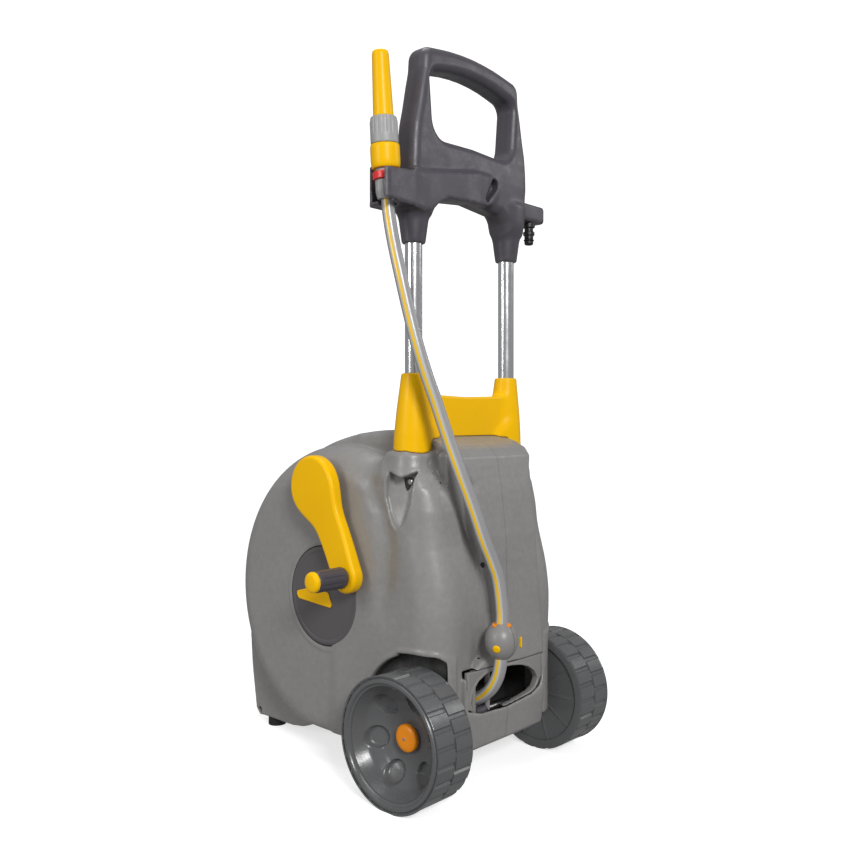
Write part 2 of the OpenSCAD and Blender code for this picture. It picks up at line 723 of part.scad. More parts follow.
// Free stretch, from inside the outlet up to the connector
run_route = [[-43.5, 10, 104], [-43.5, -16, 106.5], [-43.5, -32, 112.6], [-43.5, -48, 125.7],
    [-43.5, -58, 141], [-43.5, -63, 158], [-43.5, -64, 172], [-43, -64, 188], [-42.5, -64.5, 206],
    [-42.5, -64.5, 226], [-47.5, -63, 262], [-55, -61, 283], [-68, -57, 313], [-80, -51, 350],
    [-91, -43, 386], [-103, -31, 433], [-113.5, -19.5, 480], [-120, -12, 508], [-127, -3, 545],
    [-132, 6, 584], [-137, 15, 628], [-140, 24.5, 670], [-141.6, 30, 700], [-142.5, 31.7, 718],
    [-143.5, 32, 736.5]];
// Stretch inside the casing, from the hose pack to the outlet
lead_route = [[-43.5, 132, 77], [-43.5, 100, 84.5], [-43.5, 70, 91.5], [-43.5, 40, 98.5],
    [-43.5, 10, 104]];

function curve(a, b, c, d, t) = 0.5 * (2 * b + (c - a) * t + (2 * a - 5 * b + 4 * c - d) * t * t
    + (3 * b - a - 3 * c + d) * t * t * t);
function route_point(p, i, t) = let (n = len(p) - 1)
    curve(i == 0 ? 2 * p[0] - p[1] : p[i - 1], p[i], p[i + 1],
        i + 2 > n ? 2 * p[n] - p[n - 1] : p[i + 2], t);
function smooth(p, steps) = concat([for (i = [0:len(p) - 2]) for (k = [0:steps - 1])
    route_point(p, i, k / steps)], [p[len(p) - 1]]);

// A tube of the hose's diameter along a route
module hose_along(route, sides = 12) {
    path = smooth(route, 2);
    last = len(path) - 1;
    rings = [for (i = [0:last]) let (along = unit(path[min(i + 1, last)] - path[max(i - 1, 0)]),
        side = unit(cross(along, [1, 0.05, 0])), up = cross(side, along))
        for (k = [0:sides - 1]) path[i] + hose_d / 2 * (cos(k * 360 / sides) * side
            + sin(k * 360 / sides) * up)];
    polyhedron(rings, concat([[for (k = [0:sides - 1]) k]],
        [for (i = [0:last - 1]) for (k = [0:sides - 1]) [i * sides + k, (i + 1) * sides + k,
            (i + 1) * sides + (k + 1) % sides, i * sides + (k + 1) % sides]],
        [[for (k = [sides - 1:-1:0]) last * sides + k]]));
}

module hose_run() color([0.8, 0.8, 0.78]) place() hose_along(run_route);
module hose_lead() color([0.8, 0.8, 0.78]) place() hose_along(lead_route);

// Ball in two halves that stops the hose at the outlet
module stop_ball() difference() {
    translate(stop_at) sphere(r = stop_r);
    bar_z(stop_at[0], stop_at[1], hose_d / 2 + 0.2, 100, 300);
    bar_x(stop_at[1], stop_at[2], 5, stop_at[0] - 40, stop_at[0] - 20);
    bar_x(stop_at[1], stop_at[2], 5, stop_at[0] + 20, stop_at[0] + 40);
}

module hose_stop_left() color([0.55, 0.55, 0.55]) place() intersection() {
    stop_ball();
    box([-200, -200, 0], [stop_at[0], 0, 400]);
}

module hose_stop_right() color([0.55, 0.55, 0.55]) place() intersection() {
    stop_ball();
    box([stop_at[0], -200, 0], [100, 0, 400]);
}

// Round catches that join the two halves
module stop_buttons() color([1, 0.76, 0.05]) place() for (side = [-1, 1])
    translate(stop_at) bar_x(0, 0, 5 - run, side > 0 ? 20.05 : -23.2, side > 0 ? 23.2 : -20.05);

left_shell();
right_shell();
shell_screws();
handle_bracket();
bracket_screws();
left_cover();
cover_badge();
right_cover();
outlet_bezel();
guide_roller();
roller_pin();
tube_guides();
axle();
axle_clips();
feet();
wheel_left();
wheel_right();
hub_cap_left();
hub_cap_right();
inlet_spindle();
spindle_seals();
inlet_elbow();
drum_core();
drum_flange_left();
drum_flange_right();
drum_gear();
wound_hose();
drum_elbow();
crank_bush();
crank_shaft();
crank_pinion();
crank_arm();
grip_pin();
crank_grip();
grip_cap();
handle_front();
handle_back();
handle_screws();
left_tube();
right_tube();
tube_plugs();
parking_spigot();
spigot_seal();
hose_nut();
connector_body();
connector_ring();
connector_sleeve();
nozzle_collar();
nozzle_barrel();
nozzle_core();
hose_run();
hose_lead();
hose_stop_left();
hose_stop_right();
stop_buttons();
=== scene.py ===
"""Looks of an enclosed hose reel cart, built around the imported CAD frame.

Shapes are worked out in millimetres from the point on the ground below the middle of the axle, as the
part's own source does: X along the axle (-X is the crank's side), Y towards the feet, Z up."""
import json
import math
from types import SimpleNamespace
import bmesh
import bpy
import numpy as np
from mathutils import Matrix, Vector


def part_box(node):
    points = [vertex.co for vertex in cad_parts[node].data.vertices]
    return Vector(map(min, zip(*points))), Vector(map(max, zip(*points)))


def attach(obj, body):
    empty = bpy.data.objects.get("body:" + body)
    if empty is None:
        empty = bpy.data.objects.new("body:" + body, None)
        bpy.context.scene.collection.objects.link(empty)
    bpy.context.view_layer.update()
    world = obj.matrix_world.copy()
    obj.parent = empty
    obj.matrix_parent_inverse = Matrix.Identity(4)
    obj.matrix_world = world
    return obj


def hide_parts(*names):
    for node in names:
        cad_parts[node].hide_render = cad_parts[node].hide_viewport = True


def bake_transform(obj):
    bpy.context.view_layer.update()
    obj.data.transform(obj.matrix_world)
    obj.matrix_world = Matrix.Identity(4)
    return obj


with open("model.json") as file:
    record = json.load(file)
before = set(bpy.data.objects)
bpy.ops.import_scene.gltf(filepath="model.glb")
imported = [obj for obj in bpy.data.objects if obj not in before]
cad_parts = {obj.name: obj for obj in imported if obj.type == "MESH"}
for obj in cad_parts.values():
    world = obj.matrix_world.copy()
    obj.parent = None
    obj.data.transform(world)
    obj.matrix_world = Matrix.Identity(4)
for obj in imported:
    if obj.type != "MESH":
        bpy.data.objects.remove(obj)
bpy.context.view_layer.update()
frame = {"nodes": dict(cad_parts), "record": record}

MM = 0.001


def mid(node):
    low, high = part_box(node)
    return (low + high) / 2


ORIGIN = Vector((mid("axle").x, mid("axle").y, 0))
AXLE_Z = mid("axle").z / MM
DRUM_Y, DRUM_Z = [(mid("wound_hose")[k] - ORIGIN[k]) / MM for k in (1, 2)]
CRANK_Z = mid("crank_shaft").z / MM
GRIP_Y, GRIP_Z = [(mid("crank_grip")[k] - ORIGIN[k]) / MM for k in (1, 2)]
TUBE_X = (mid("right_tube").x - ORIGIN.x) / MM
TUBE_Y = (mid("right_tube").y - ORIGIN.y) / MM
TUBE_R = (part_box("right_tube")[1].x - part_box("right_tube")[0].x) / MM / 2
TOP_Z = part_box("handle_front")[1].z / MM


def at(x, y, z):
    """A point of the layout, in millimetres, as a place in the frame, in metres."""
    return ORIGIN + Vector((x, y, z)) * MM


# -------- camera and light

CAMERA_AT = at(-921.7, -747.9, 456.9)
CAMERA_YAW, CAMERA_PITCH, CAMERA_LENS = 47.31, -0.33, 38.6


def make_camera():
    data = bpy.data.cameras.new("camera")
    data.lens, data.sensor_width = CAMERA_LENS, 36
    camera = bpy.data.objects.new("camera", data)
    bpy.context.scene.collection.objects.link(camera)
    camera.location = CAMERA_AT
    camera.rotation_euler = (math.radians(90 + CAMERA_PITCH), 0, -math.radians(CAMERA_YAW))
    bpy.context.scene.camera = camera


def area_light(name, place, target, power, size):
    data = bpy.data.lights.new(name, "AREA")
    data.energy, data.size = power, size
    lamp = bpy.data.objects.new(name, data)
    bpy.context.scene.collection.objects.link(lamp)
    lamp.location = place
    lamp.rotation_euler = (target - place).to_track_quat("-Z", "Y").to_euler()


make_camera()


# -------- materials

def new_material(name):
    material = bpy.data.materials.new(name)
    material.use_nodes = True
    tree = material.node_tree
    return material, tree, tree.nodes["Principled BSDF"]


def link(tree, source, out, target, into):
    tree.links.new(source.outputs[out], target.inputs[into])


def noise(tree, source, scale, detail=2.0, rough=0.5, out="Object"):
    node = tree.nodes.new("ShaderNodeTexNoise")
    node.inputs["Scale"].default_value = scale
    node.inputs["Detail"].default_value = detail
    node.inputs["Roughness"].default_value = rough
    link(tree, source, out, node, "Vector")
    return node


def ramp(tree, source, out, stops):
    """Maps a value to another through a ramp of (position, grey) stops."""
    node = tree.nodes.new("ShaderNodeValToRGB")
    elements = node.color_ramp.elements
    while len(elements) < len(stops):
        elements.new(0.5)
    for element, (position, grey) in zip(elements, stops):
        element.position = position
        element.color = (grey, grey, grey, 1)
    link(tree, source, out, node, "Fac")
    return node


def mix_colour(tree, factor, out, a, b):
    """A colour mixed from a to b by a node's output; a or b may be a colour or a node."""
    node = tree.nodes.new("ShaderNodeMix")
    node.data_type = "RGBA"
    link(tree, factor, out, node, "Factor")
    for slot, value in ((6, a), (7, b)):
        if isinstance(value, tuple):
            node.inputs[slot].default_value = (*value, 1)
        else:
            link(tree, value, 2, node, slot)
    return node


def bump(tree, height, out, strength, distance, below=None):
    node = tree.nodes.new("ShaderNodeBump")
    node.inputs["Strength"].default_value = strength
    node.inputs["Distance"].default_value = distance
    link(tree, height, out, node, "Height")
    if below:
        link(tree, below, "Normal", node, "Normal")
    return node


def scaled(colour, k):
    return tuple(min(1.0, c * k) for c in colour)


def moulded(name, colour, rough, grain, relief, vary, wear, coat=0.0, sheen=0.5):
    """Injection-moulded plastic: fine grain, slight tone drift, paler rubbed edges and faint scuffs."""
    material, tree, shader = new_material(name)
    coordinate = tree.nodes.new("ShaderNodeTexCoord")
    drift = noise(tree, coordinate, 9, 3)
    tone = mix_colour(tree, ramp(tree, drift, "Fac", [(0.3, 0), (0.7, 1)]), "Color",
                      scaled(colour, 1 - vary), scaled(colour, 1 + vary))
    edge = tree.nodes.new("ShaderNodeAttribute")
    edge.attribute_name = "edge"
    breakup = noise(tree, coordinate, 130, 4, 0.65)
    worn = tree.nodes.new("ShaderNodeMath")
    worn.operation = "MULTIPLY"
    link(tree, edge, "Fac", worn, 0)
    link(tree, ramp(tree, breakup, "Fac", [(0.35, 0), (0.7, 1)]), "Color", worn, 1)
    amount = ramp(tree, worn, "Value", [(0.02, 0), (0.6, wear)])
    pale = tuple(c + (0.75 - c) * 0.45 for c in colour)
    tone = mix_colour(tree, amount, "Color", tone, pale)
    link(tree, tone, 2, shader, "Base Color")
    scuff = noise(tree, coordinate, 55, 6, 0.7)
    gloss = ramp(tree, scuff, "Fac", [(0.35, max(rough - 0.07, 0.05)), (0.75, min(rough + 0.1, 1))])
    link(tree, gloss, "Color", shader, "Roughness")
    fine = noise(tree, coordinate, grain, 2)
    wavy = noise(tree, coordinate, 28, 2)
    low = bump(tree, wavy, "Fac", 0.06, 0.002)
    link(tree, bump(tree, fine, "Fac", relief, 0.0004, low), "Normal", shader, "Normal")
    shader.inputs["Specular IOR Level"].default_value = sheen
    shader.inputs["Coat Weight"].default_value = coat
    shader.inputs["Coat Roughness"].default_value = 0.18
    return material


def metal(name, colour, rough, streak, scale):
    """Bare metal with a fine grain. A small scale along an axis draws the grain out into lines."""
    material, tree, shader = new_material(name)
    coordinate = tree.nodes.new("ShaderNodeTexCoord")
    stretch = tree.nodes.new("ShaderNodeMapping")
    stretch.inputs["Scale"].default_value = scale
    link(tree, coordinate, "Object", stretch, "Vector")
    lines = noise(tree, stretch, 900, 3, out="Vector")
    tone = mix_colour(tree, lines, "Fac", scaled(colour, 0.93), colour)
    link(tree, tone, 2, shader, "Base Color")
    smear = noise(tree, coordinate, 30, 4, 0.6)
    gloss = ramp(tree, smear, "Fac", [(0.3, rough), (0.8, rough + 0.12)])
    link(tree, gloss, "Color", shader, "Roughness")
    link(tree, bump(tree, lines, "Fac", streak, 0.0002), "Normal", shader, "Normal")
    shader.inputs["Metallic"].default_value = 1.0
    return material


# Each finish's colour, roughness, grain, relief, drift, rubbed edges, clear coat and shine
MOULDED = {
    "casing_grey": ((0.262, 0.255, 0.250), 0.36, 1500, 0.16, 0.03, 0.22),
    "dark_plastic": ((0.070, 0.064, 0.078), 0.40, 1600, 0.14, 0.05, 0.2),
    "cover_dark": ((0.105, 0.097, 0.102), 0.46, 1500, 0.2, 0.04, 0.15),
    "amber_plastic": ((1.0, 0.545, 0.0), 0.33, 1800, 0.06, 0.03, 0.02, 0.0, 0.18),
    "wheel_plastic": ((0.118, 0.120, 0.123), 0.26, 900, 0.15, 0.10, 0.45),
    "light_plastic": ((0.37, 0.37, 0.37), 0.42, 1600, 0.1, 0.04, 0.1),
    "gear_plastic": ((0.66, 0.65, 0.58), 0.35, 1800, 0.06, 0.03, 0.1),
    "black_plastic": ((0.016, 0.016, 0.017), 0.42, 1400, 0.15, 0.1, 0.1),
    "deep_orange": ((1.0, 0.30, 0.0), 0.35, 1800, 0.06, 0.03, 0.1),
    # A darker copy of the casing grey: painted shade for the inside of the wheels' rooms
    "painted_arch_shade": ((0.050, 0.048, 0.047), 0.5, 1500, 0.16, 0.05, 0.1),
    "red_plastic": ((0.78, 0.03, 0.03), 0.32, 1800, 0.06, 0.04, 0.1),
    "rubber_black": ((0.012, 0.012, 0.012), 0.7, 700, 0.3, 0.15, 0.1),
    "hose_pvc": ((0.33, 0.33, 0.34), 0.3, 1500, 0.06, 0.03, 0.0, 0.2),
    # White bands beside the yellow line: painted highlights of the glossy hose
    "hose_white_highlight": ((0.52, 0.52, 0.52), 0.28, 1500, 0.05, 0.03, 0.0, 0.25),
    "hose_yellow": ((0.90, 0.56, 0.02), 0.28, 1500, 0.05, 0.03, 0.0, 0.25),
    "floor_white": ((0.9, 0.9, 0.9), 0.9, 60, 0.0, 0.0, 0.0),
}
MATERIALS = {name: moulded(name, *look) for name, look in MOULDED.items()}
MATERIALS["steel"] = metal("steel", (0.62, 0.62, 0.61), 0.28, 0.1, (1, 1, 1))
MATERIALS["tube_aluminium"] = metal("tube_aluminium", (0.86, 0.87, 0.89), 0.16, 0.12, (1, 1, 0.01))


def dress_cad():
    """Gives every carried-over CAD node its own material."""
    for part in frame["record"]["subparts"]:
        o = frame["nodes"][part["node"]]
        o.data.materials.clear()
        o.data.materials.append(MATERIALS[part["material_slot"]])


dress_cad()


# -------- shapes as distance fields

class Block:
    """A grid of points over a box, in millimetres. A shape is its distance at each, negative inside."""

    def __init__(self, low, high, step):
        self.low = np.array(low, np.float32)
        self.step = step
        ends = [np.arange(a, b + step / 2, step, dtype=np.float32) for a, b in zip(low, high)]
        self.x = ends[0].reshape(-1, 1, 1)
        self.y = ends[1].reshape(1, -1, 1)
        self.z = ends[2].reshape(1, 1, -1)


def join(a, b, k=0.0):
    """Union of two distances, blended over k."""
    if not k:
        return np.minimum(a, b)
    h = np.maximum(k - np.abs(a - b), 0) / k
    return np.minimum(a, b) - h * h * k / 4


def cut(a, b, k=0.0):
    """a without b, blended over k."""
    return -join(-a, b, k)


def both(a, b, r=0.0):
    """Where a and b overlap, with edges rounded to radius r."""
    if not r:
        return np.maximum(a, b)
    u, v = a + r, b + r
    return np.hypot(np.maximum(u, 0), np.maximum(v, 0)) + np.minimum(np.maximum(u, v), 0) - r


def slab(v, low, high):
    """Distance to the layer between two planes across one axis."""
    return np.abs(v - (low + high) / 2) - (high - low) / 2


def disc(u, v, cu, cv, r):
    return np.hypot(u - cu, v - cv) - r


def cuboid(block, low, high, r=1.0):
    x, y, z = (slab(v, a, b) for v, a, b in zip((block.x, block.y, block.z), low, high))
    return both(both(x, y, r), z, r)


def outline(u, v, points):
    """Distance to a closed outline in the plane of u and v."""
    best = None
    inside = False
    for i in range(len(points)):
        (au, av), (bu, bv) = points[i], points[i - 1]
        eu, ev = bu - au, bv - av
        wu, wv = u - au, v - av
        t = np.clip((wu * eu + wv * ev) / (eu * eu + ev * ev), 0, 1)
        d = (wu - eu * t) ** 2 + (wv - ev * t) ** 2
        best = d if best is None else np.minimum(best, d)
        over, under, left = v >= av, v < bv, eu * wv > ev * wu
        inside = inside ^ ((over & under & left) | ~(over | under | left))
    return np.where(inside, -1, 1) * np.sqrt(best)


def arc(cu, cv, ru, rv, a0, a1, n):
    """Points along part of an oval, from angle a0 to a1 in degrees."""
    turns = np.radians(np.linspace(a0, a1, n + 1))
    return [(cu + ru * math.cos(t), cv + rv * math.sin(t)) for t in turns]


def sample(field, p):
    """The field's value between its grid points."""
    size = np.array(field.shape) - 1.001
    p = np.clip(p, 0, size)
    i = p.astype(int)
    f = p - i
    total = 0
    for corner in range(8):
        step = [(corner >> k) & 1 for k in range(3)]
        weight = 1.0
        for k in range(3):
            weight = weight * (f[:, k] if step[k] else 1 - f[:, k])
        total = total + weight * field[i[:, 0] + step[0], i[:, 1] + step[1], i[:, 2] + step[2]]
    return total


def slope(field, p, reach=0.6):
    g = [sample(field, p + reach * np.eye(3)[k]) - sample(field, p - reach * np.eye(3)[k]) for k in range(3)]
    return np.stack(g, 1) / (2 * reach)


def settle(field, p, rounds):
    """Moves points onto the field's surface."""
    for _ in range(rounds):
        g = slope(field, p)
        p = p - g * (sample(field, p) / np.maximum((g * g).sum(1), 0.05))[:, None]
    return p


def skin(field):
    """Surface of a field as points, in grid steps, and four-sided faces."""
    inside = field < 0
    n = [s - 1 for s in field.shape]
    corners = [((c >> 2) & 1, (c >> 1) & 1, c & 1) for c in range(8)]
    count = sum(inside[i:n[0] + i, j:n[1] + j, k:n[2] + k].astype(np.int8) for i, j, k in corners)
    cells = np.argwhere((count > 0) & (count < 8))
    value = np.stack([field[tuple((cells + c).T)] for c in corners], 1)
    place = np.zeros((len(cells), 3))
    hits = np.zeros(len(cells))
    for a in range(8):
        for b in range(a + 1, 8):
            if sum(p != q for p, q in zip(corners[a], corners[b])) != 1:
                continue
            crossing = (value[:, a] < 0) != (value[:, b] < 0)
            t = np.where(crossing, value[:, a] / np.where(crossing, value[:, a] - value[:, b], 1), 0)
            ends = np.array(corners[a]), np.array(corners[b])
            place += crossing[:, None] * (ends[0] + t[:, None] * (ends[1] - ends[0]))
            hits += crossing
    place = cells + place / hits[:, None]
    number = np.full(n, -1, np.int32)
    number[tuple(cells.T)] = np.arange(len(cells))
    faces = []
    for axis in range(3):
        change = np.argwhere(np.diff(inside, axis=axis))
        u, v = [k for k in range(3) if k != axis]
        ok = (change[:, u] > 0) & (change[:, v] > 0) & (change[:, u] < n[u]) & (change[:, v] < n[v])
        change = change[ok]
        ring = []
        for du, dv in ((1, 1), (0, 1), (0, 0), (1, 0)):
            c = change.copy()
            c[:, u] -= du
            c[:, v] -= dv
            ring.append(number[tuple(c.T)])
        quad = np.stack(ring, 1)
        filled = inside[tuple(change.T)]
        turned = filled if axis == 1 else ~filled
        quad[turned] = quad[turned][:, ::-1]
        faces.append(quad)
    return place, np.concatenate(faces)


def mesh_object(name, points, faces, material):
    mesh = bpy.data.meshes.new(name)
    mesh.from_pydata([tuple(p) for p in points], [], [tuple(f) for f in faces])
    mesh.materials.append(MATERIALS[material])
    mesh.validate()
    o = bpy.data.objects.new(name, mesh)
    bpy.context.scene.collection.objects.link(o)
    return o


def applied(o):
    """The object's mesh with its modifiers applied."""
    result = bpy.data.meshes.new_from_object(o.evaluated_get(bpy.context.evaluated_depsgraph_get()))
    o.modifiers.clear()
    o.data = result
    return o


def halve(o, axis, middle, side):
    """Keeps the part of a mesh that lies past a plane across one axis, and closes the cut."""
    place, away = [0, 0, 0], [0, 0, 0]
    place[axis], away[axis] = middle, -side
    work = bmesh.new()
    work.from_mesh(o.data)
    everything = work.verts[:] + work.edges[:] + work.faces[:]
    result = bmesh.ops.bisect_plane(work, geom=everything, plane_co=place, plane_no=away, clear_outer=True)
    rim = [e for e in result["geom_cut"] if isinstance(e, bmesh.types.BMEdge)]
    closed = bmesh.ops.triangle_fill(work, edges=rim, normal=away)
    for face in closed["geom"]:
        if isinstance(face, bmesh.types.BMFace):
            face.normal_update()
            if face.normal.dot(Vector(away)) < 0:
                face.normal_flip()
    work.to_mesh(o.data)
    work.free()


def carved(name, block, field, material, keep=0.4, surface=None, split=None, gap=0.35):
    """A smooth piece from a field: skinned, thinned out where it is flat, and shaded by the field's slope.
    With split = (axis, middle, side), it is only what lies on that side of that plane."""
    points, faces = surface or skin(field)
    points = settle(field, points, 2)
    o = mesh_object(name, points, faces, material)
    if keep < 1:
        thin = o.modifiers.new("thin", "DECIMATE")
        thin.ratio = keep
        applied(o)
    if split:
        axis, middle, side = split
        halve(o, axis, (middle + side * gap - block.low[axis]) / block.step, side)
    count = len(o.data.vertices)
    p = np.zeros(count * 3)
    o.data.vertices.foreach_get("co", p)
    p = settle(field, p.reshape(-1, 3), 1)
    normals = slope(field, p, 0.8)
    normals /= np.maximum(np.linalg.norm(normals, axis=1), 1e-9)[:, None]
    around = sum(sample(field, p + s * 1.5 * np.eye(3)[k]) for k in range(3) for s in (-1, 1)) / 6
    edge = np.clip(around / block.step * 2.2, 0, 1)
    world = (p * block.step + block.low) * MM + np.array(ORIGIN)
    o.data.vertices.foreach_set("co", world.ravel())
    o.data.attributes.new("edge", "FLOAT", "POINT").data.foreach_set("value", edge.astype(np.float32))
    o.data.shade_smooth()
    o.data.normals_split_custom_set_from_vertices([tuple(v) for v in normals])
    return o


# -------- turned and swept pieces

def ring_faces(rows, sides):
    """Four-sided faces between neighbouring rings of points."""
    strip = [(k, (k + 1) % sides) for k in range(sides)]
    return [(i + a, i + b, i + sides + b, i + sides + a)
            for i in range(0, (rows - 1) * sides, sides) for a, b in strip]


def soften(points, radius, steps=4):
    """Rounds the inner corners of an open outline."""
    result = [points[0]]
    for a, b, c in zip(points, points[1:], points[2:]):
        a, b, c = np.array(a, float), np.array(b, float), np.array(c, float)
        back, on = a - b, c - b
        reach = min(radius, np.linalg.norm(back) * 0.45, np.linalg.norm(on) * 0.45)
        p, q = b + back / np.linalg.norm(back) * reach, b + on / np.linalg.norm(on) * reach
        for i in range(steps + 1):
            t = i / steps
            result.append(tuple((1 - t) ** 2 * p + 2 * t * (1 - t) * b + t * t * q))
    return result + [points[-1]]


def lathe(name, place, profile, material, sides=72, shape=None, sharp=32):
    """Turns (radius, height) points about the Z axis of place. shape may move each point by its angle."""
    points = []
    for r, h in profile:
        for k in range(sides):
            a = 2 * math.pi * k / sides
            rr, hh = shape(a, r, h) if shape else (r, h)
            points.append(place @ (Vector((rr * math.cos(a), rr * math.sin(a), hh)) * MM))
    o = mesh_object(name, points, ring_faces(len(profile), sides), material)
    work = bmesh.new()
    work.from_mesh(o.data)
    bmesh.ops.remove_doubles(work, verts=work.verts, dist=1e-6)
    bmesh.ops.recalc_face_normals(work, faces=work.faces)
    work.to_mesh(o.data)
    work.free()
    o.data.shade_smooth()
    o.data.set_sharp_from_angle(angle=math.radians(sharp))
    return o


def along_x(x, y, z, facing=-1):
    """A place whose Z axis runs along the axle, towards -X by default."""
    return Matrix.Translation(at(x, y, z)) @ Matrix.Rotation(math.radians(90 * facing), 4, "Y")


def spline(route, steps):
    """A smooth line through the route's points."""
    p = [np.array(q, float) for q in route]
    p = [2 * p[0] - p[1]] + p + [2 * p[-1] - p[-2]]
    line = []
    for a, b, c, d in zip(p, p[1:], p[2:], p[3:]):
        for k in range(steps):
            t = k / steps
            line.append(0.5 * (2 * b + (c - a) * t + (2 * a - 5 * b + 4 * c - d) * t * t
                               + (3 * b - a - 3 * c + d) * t ** 3))
    return line + [p[-2]]


def swept(name, line, radius, sides, materials, face_slot, twist=0.0):
    """A round tube along a line. face_slot gives each strip's material by its angle in degrees."""
    points = []
    front = np.array([math.sin(math.radians(CAMERA_YAW)), math.cos(math.radians(CAMERA_YAW)), 0]) * -1
    for i, centre in enumerate(line):
        ahead = line[min(i + 1, len(line) - 1)] - line[max(i - 1, 0)]
        ahead = ahead / np.linalg.norm(ahead)
        front = front - ahead * front.dot(ahead)
        front = front / np.linalg.norm(front)
        side = np.cross(ahead, front)
        roll = math.radians(twist) * i / len(line)
        for k in range(sides):
            a = 2 * math.pi * (k + 0.5) / sides + roll
            points.append(at(*(centre + radius * (math.cos(a) * front + math.sin(a) * side))))
    faces = ring_faces(len(line), sides)
    slots = [face_slot(360 * (k + 1) / sides) for k in range(sides)] * (len(line) - 1)
    last = (len(line) - 1) * sides
    faces += [tuple(range(sides))[::-1], tuple(range(last, last + sides))]
    slots += [0, 0]
    o = mesh_object(name, points, faces, materials[0])
    for extra in materials[1:]:
        o.data.materials.append(MATERIALS[extra])
    for face, index in zip(o.data.polygons, slots):
        face.material_index = index
    o.data.shade_smooth()
    return o


# -------- hose

HOSE_D = 16
HOSE_R = HOSE_D / 2 - 0.02
HOSE_SIDES = 40
RUN_ROUTE = [
    (-43.5, 10, 104), (-43.5, -16, 106.5), (-43.5, -32, 112.6), (-43.5, -48, 125.7), (-43.5, -58, 141),
    (-43.5, -63, 158), (-43.5, -64, 172), (-43, -64, 188), (-42.5, -64.5, 206), (-42.5, -64.5, 226),
    (-47.5, -63, 262), (-55, -61, 283), (-68, -57, 313), (-80, -51, 350), (-91, -43, 386),
    (-103, -31, 433), (-113.5, -19.5, 480), (-120, -12, 508), (-127, -3, 545), (-132, 6, 584),
    (-137, 15, 628), (-140, 24.5, 670), (-141.6, 30, 700), (-142.5, 31.7, 718), (-143.5, 32, 736.5)]
LEAD_ROUTE = [(-43.5, 132, 77), (-43.5, 100, 84.5), (-43.5, 70, 91.5), (-43.5, 40, 98.5), (-43.5, 10, 104)]
# How many degrees round the hose the yellow line and the white bands beside it reach; the white bands are
# painted highlights of the glossy hose
YELLOW_HALF, HIGHLIGHT_HALF = 16, 30
HOSE_TWIST = 25


def hose_strip(angle):
    away = abs((angle + 180) % 360 - 180)
    return 2 if away < YELLOW_HALF else 1 if away < HIGHLIGHT_HALF else 0


def make_hose():
    kinds = ["hose_pvc", "hose_white_highlight", "hose_yellow"]
    lead = swept("inner_hose", spline(LEAD_ROUTE, 6), HOSE_R, HOSE_SIDES, kinds, hose_strip)
    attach(lead, "root")
    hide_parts("hose_lead")
    line = spline(RUN_ROUTE, 8)
    run = swept("garden_hose", line, HOSE_R, HOSE_SIDES, kinds, hose_strip, HOSE_TWIST)
    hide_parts("hose_run")
    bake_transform(run)
    path = [at(*p) for p in line]
    length = sum((b - a).length for a, b in zip(path, path[1:]))
    return run, path, length


HOSE, HOSE_PATH, HOSE_LENGTH = make_hose()


# -------- casing

WALL = 4.5
HALF_W = 125
PANEL_X = 55
PANEL_LEFT = ((90, 142, 162, 217, 266, 333, 377, 396, 425), (82, 80, 42, 36, 45, 47, 54, 68, 80))
PANEL_RIGHT = ((90, 150, 240, 333, 396, 425), (82, 80, 72, 66, 70, 80))
LOBE_INNER = ((288, 326, 358, 384, 400), (41, 46, 58, 71, 78))
# The hollow between the drum's face and the left lobe, by height
VALLEY = ((200, 215, 260, 303, 340, 393), (66, 62.5, 53.5, 51, 59, 94))
KEEL_X = 78
SEAT_Z = 415
HOUSING_Z = DRUM_Z - 4
HOUSING_R = 203
ARCH_R = 94
ARCH_TOP = 171
ARCH_X = 109.5
ARCH_FRONT = -28.5
WINDOW = [(-77, 103), (-52, 95.5), (0, 92.5), (52, 97), (70, 104), (77, 116), (77, 147), (30, 147),
          (-12, 149), (-77, 150)]
KEEL_OUTLINE = [(-37, 54), (-24, 46), (60, 40), (180, 40), (205, 40), (270, 15), (292, 12), (368, 12),
                (377, 20), (386, 75), (393, 130)] + arc(87, 211, 310, 232, 0, 90, 24) + [
                (60, 442), (20, 433), (-12, 421), (-23, 410), (-31, 367), (-38, 310), (-40, 241), (-42, 95)]
LOBE_OUTLINE = [(-60, 46), (100, 41), (160, 41), (160, 300), (66, 400), (4, 400), (-6, 394), (-60, 330)]
LOBE_FRONT = ((46, 62, 225, 255, 300, 345, 372, 390, 400), (-14, -31, -31, -28, -21, -16, -10, -1, 6))
SEAT_OUTLINE = [(31, 380), (31, 415), (66, 415), (90, 385)]
SCREW_AT = [(-34, 277), (10, 423), (150, 431), (284, 380), (388, 230), (366, 20), (240, 34), (60, 47)]
SCREW_HOLE_R, SCREW_POST_R, SCREW_WELL_R = 4.4, 7, 8
AXLE_HOLE_R, CRANK_HOLE_R, INLET_HOLE_R = 7, 12.5, 15
FOOT_R = 25.5
COVER_SEAT_R = 71
SEAM_HALF = 0.7
RECESS_SCREW = (107, 27.6, 380.5)
# Each dark hole: a point on its axis, the way the axis runs outwards, and its radius
DARK_HOLES = [((91.5, 4.5, 406), (0.5, -0.67, 0.55), 6), ((105, -18.5, 157.5), (1, 0, 0), 6)]
SEEN_SCREWS = [SCREW_AT[i] for i in (0, 3, 4, 5, 6)]


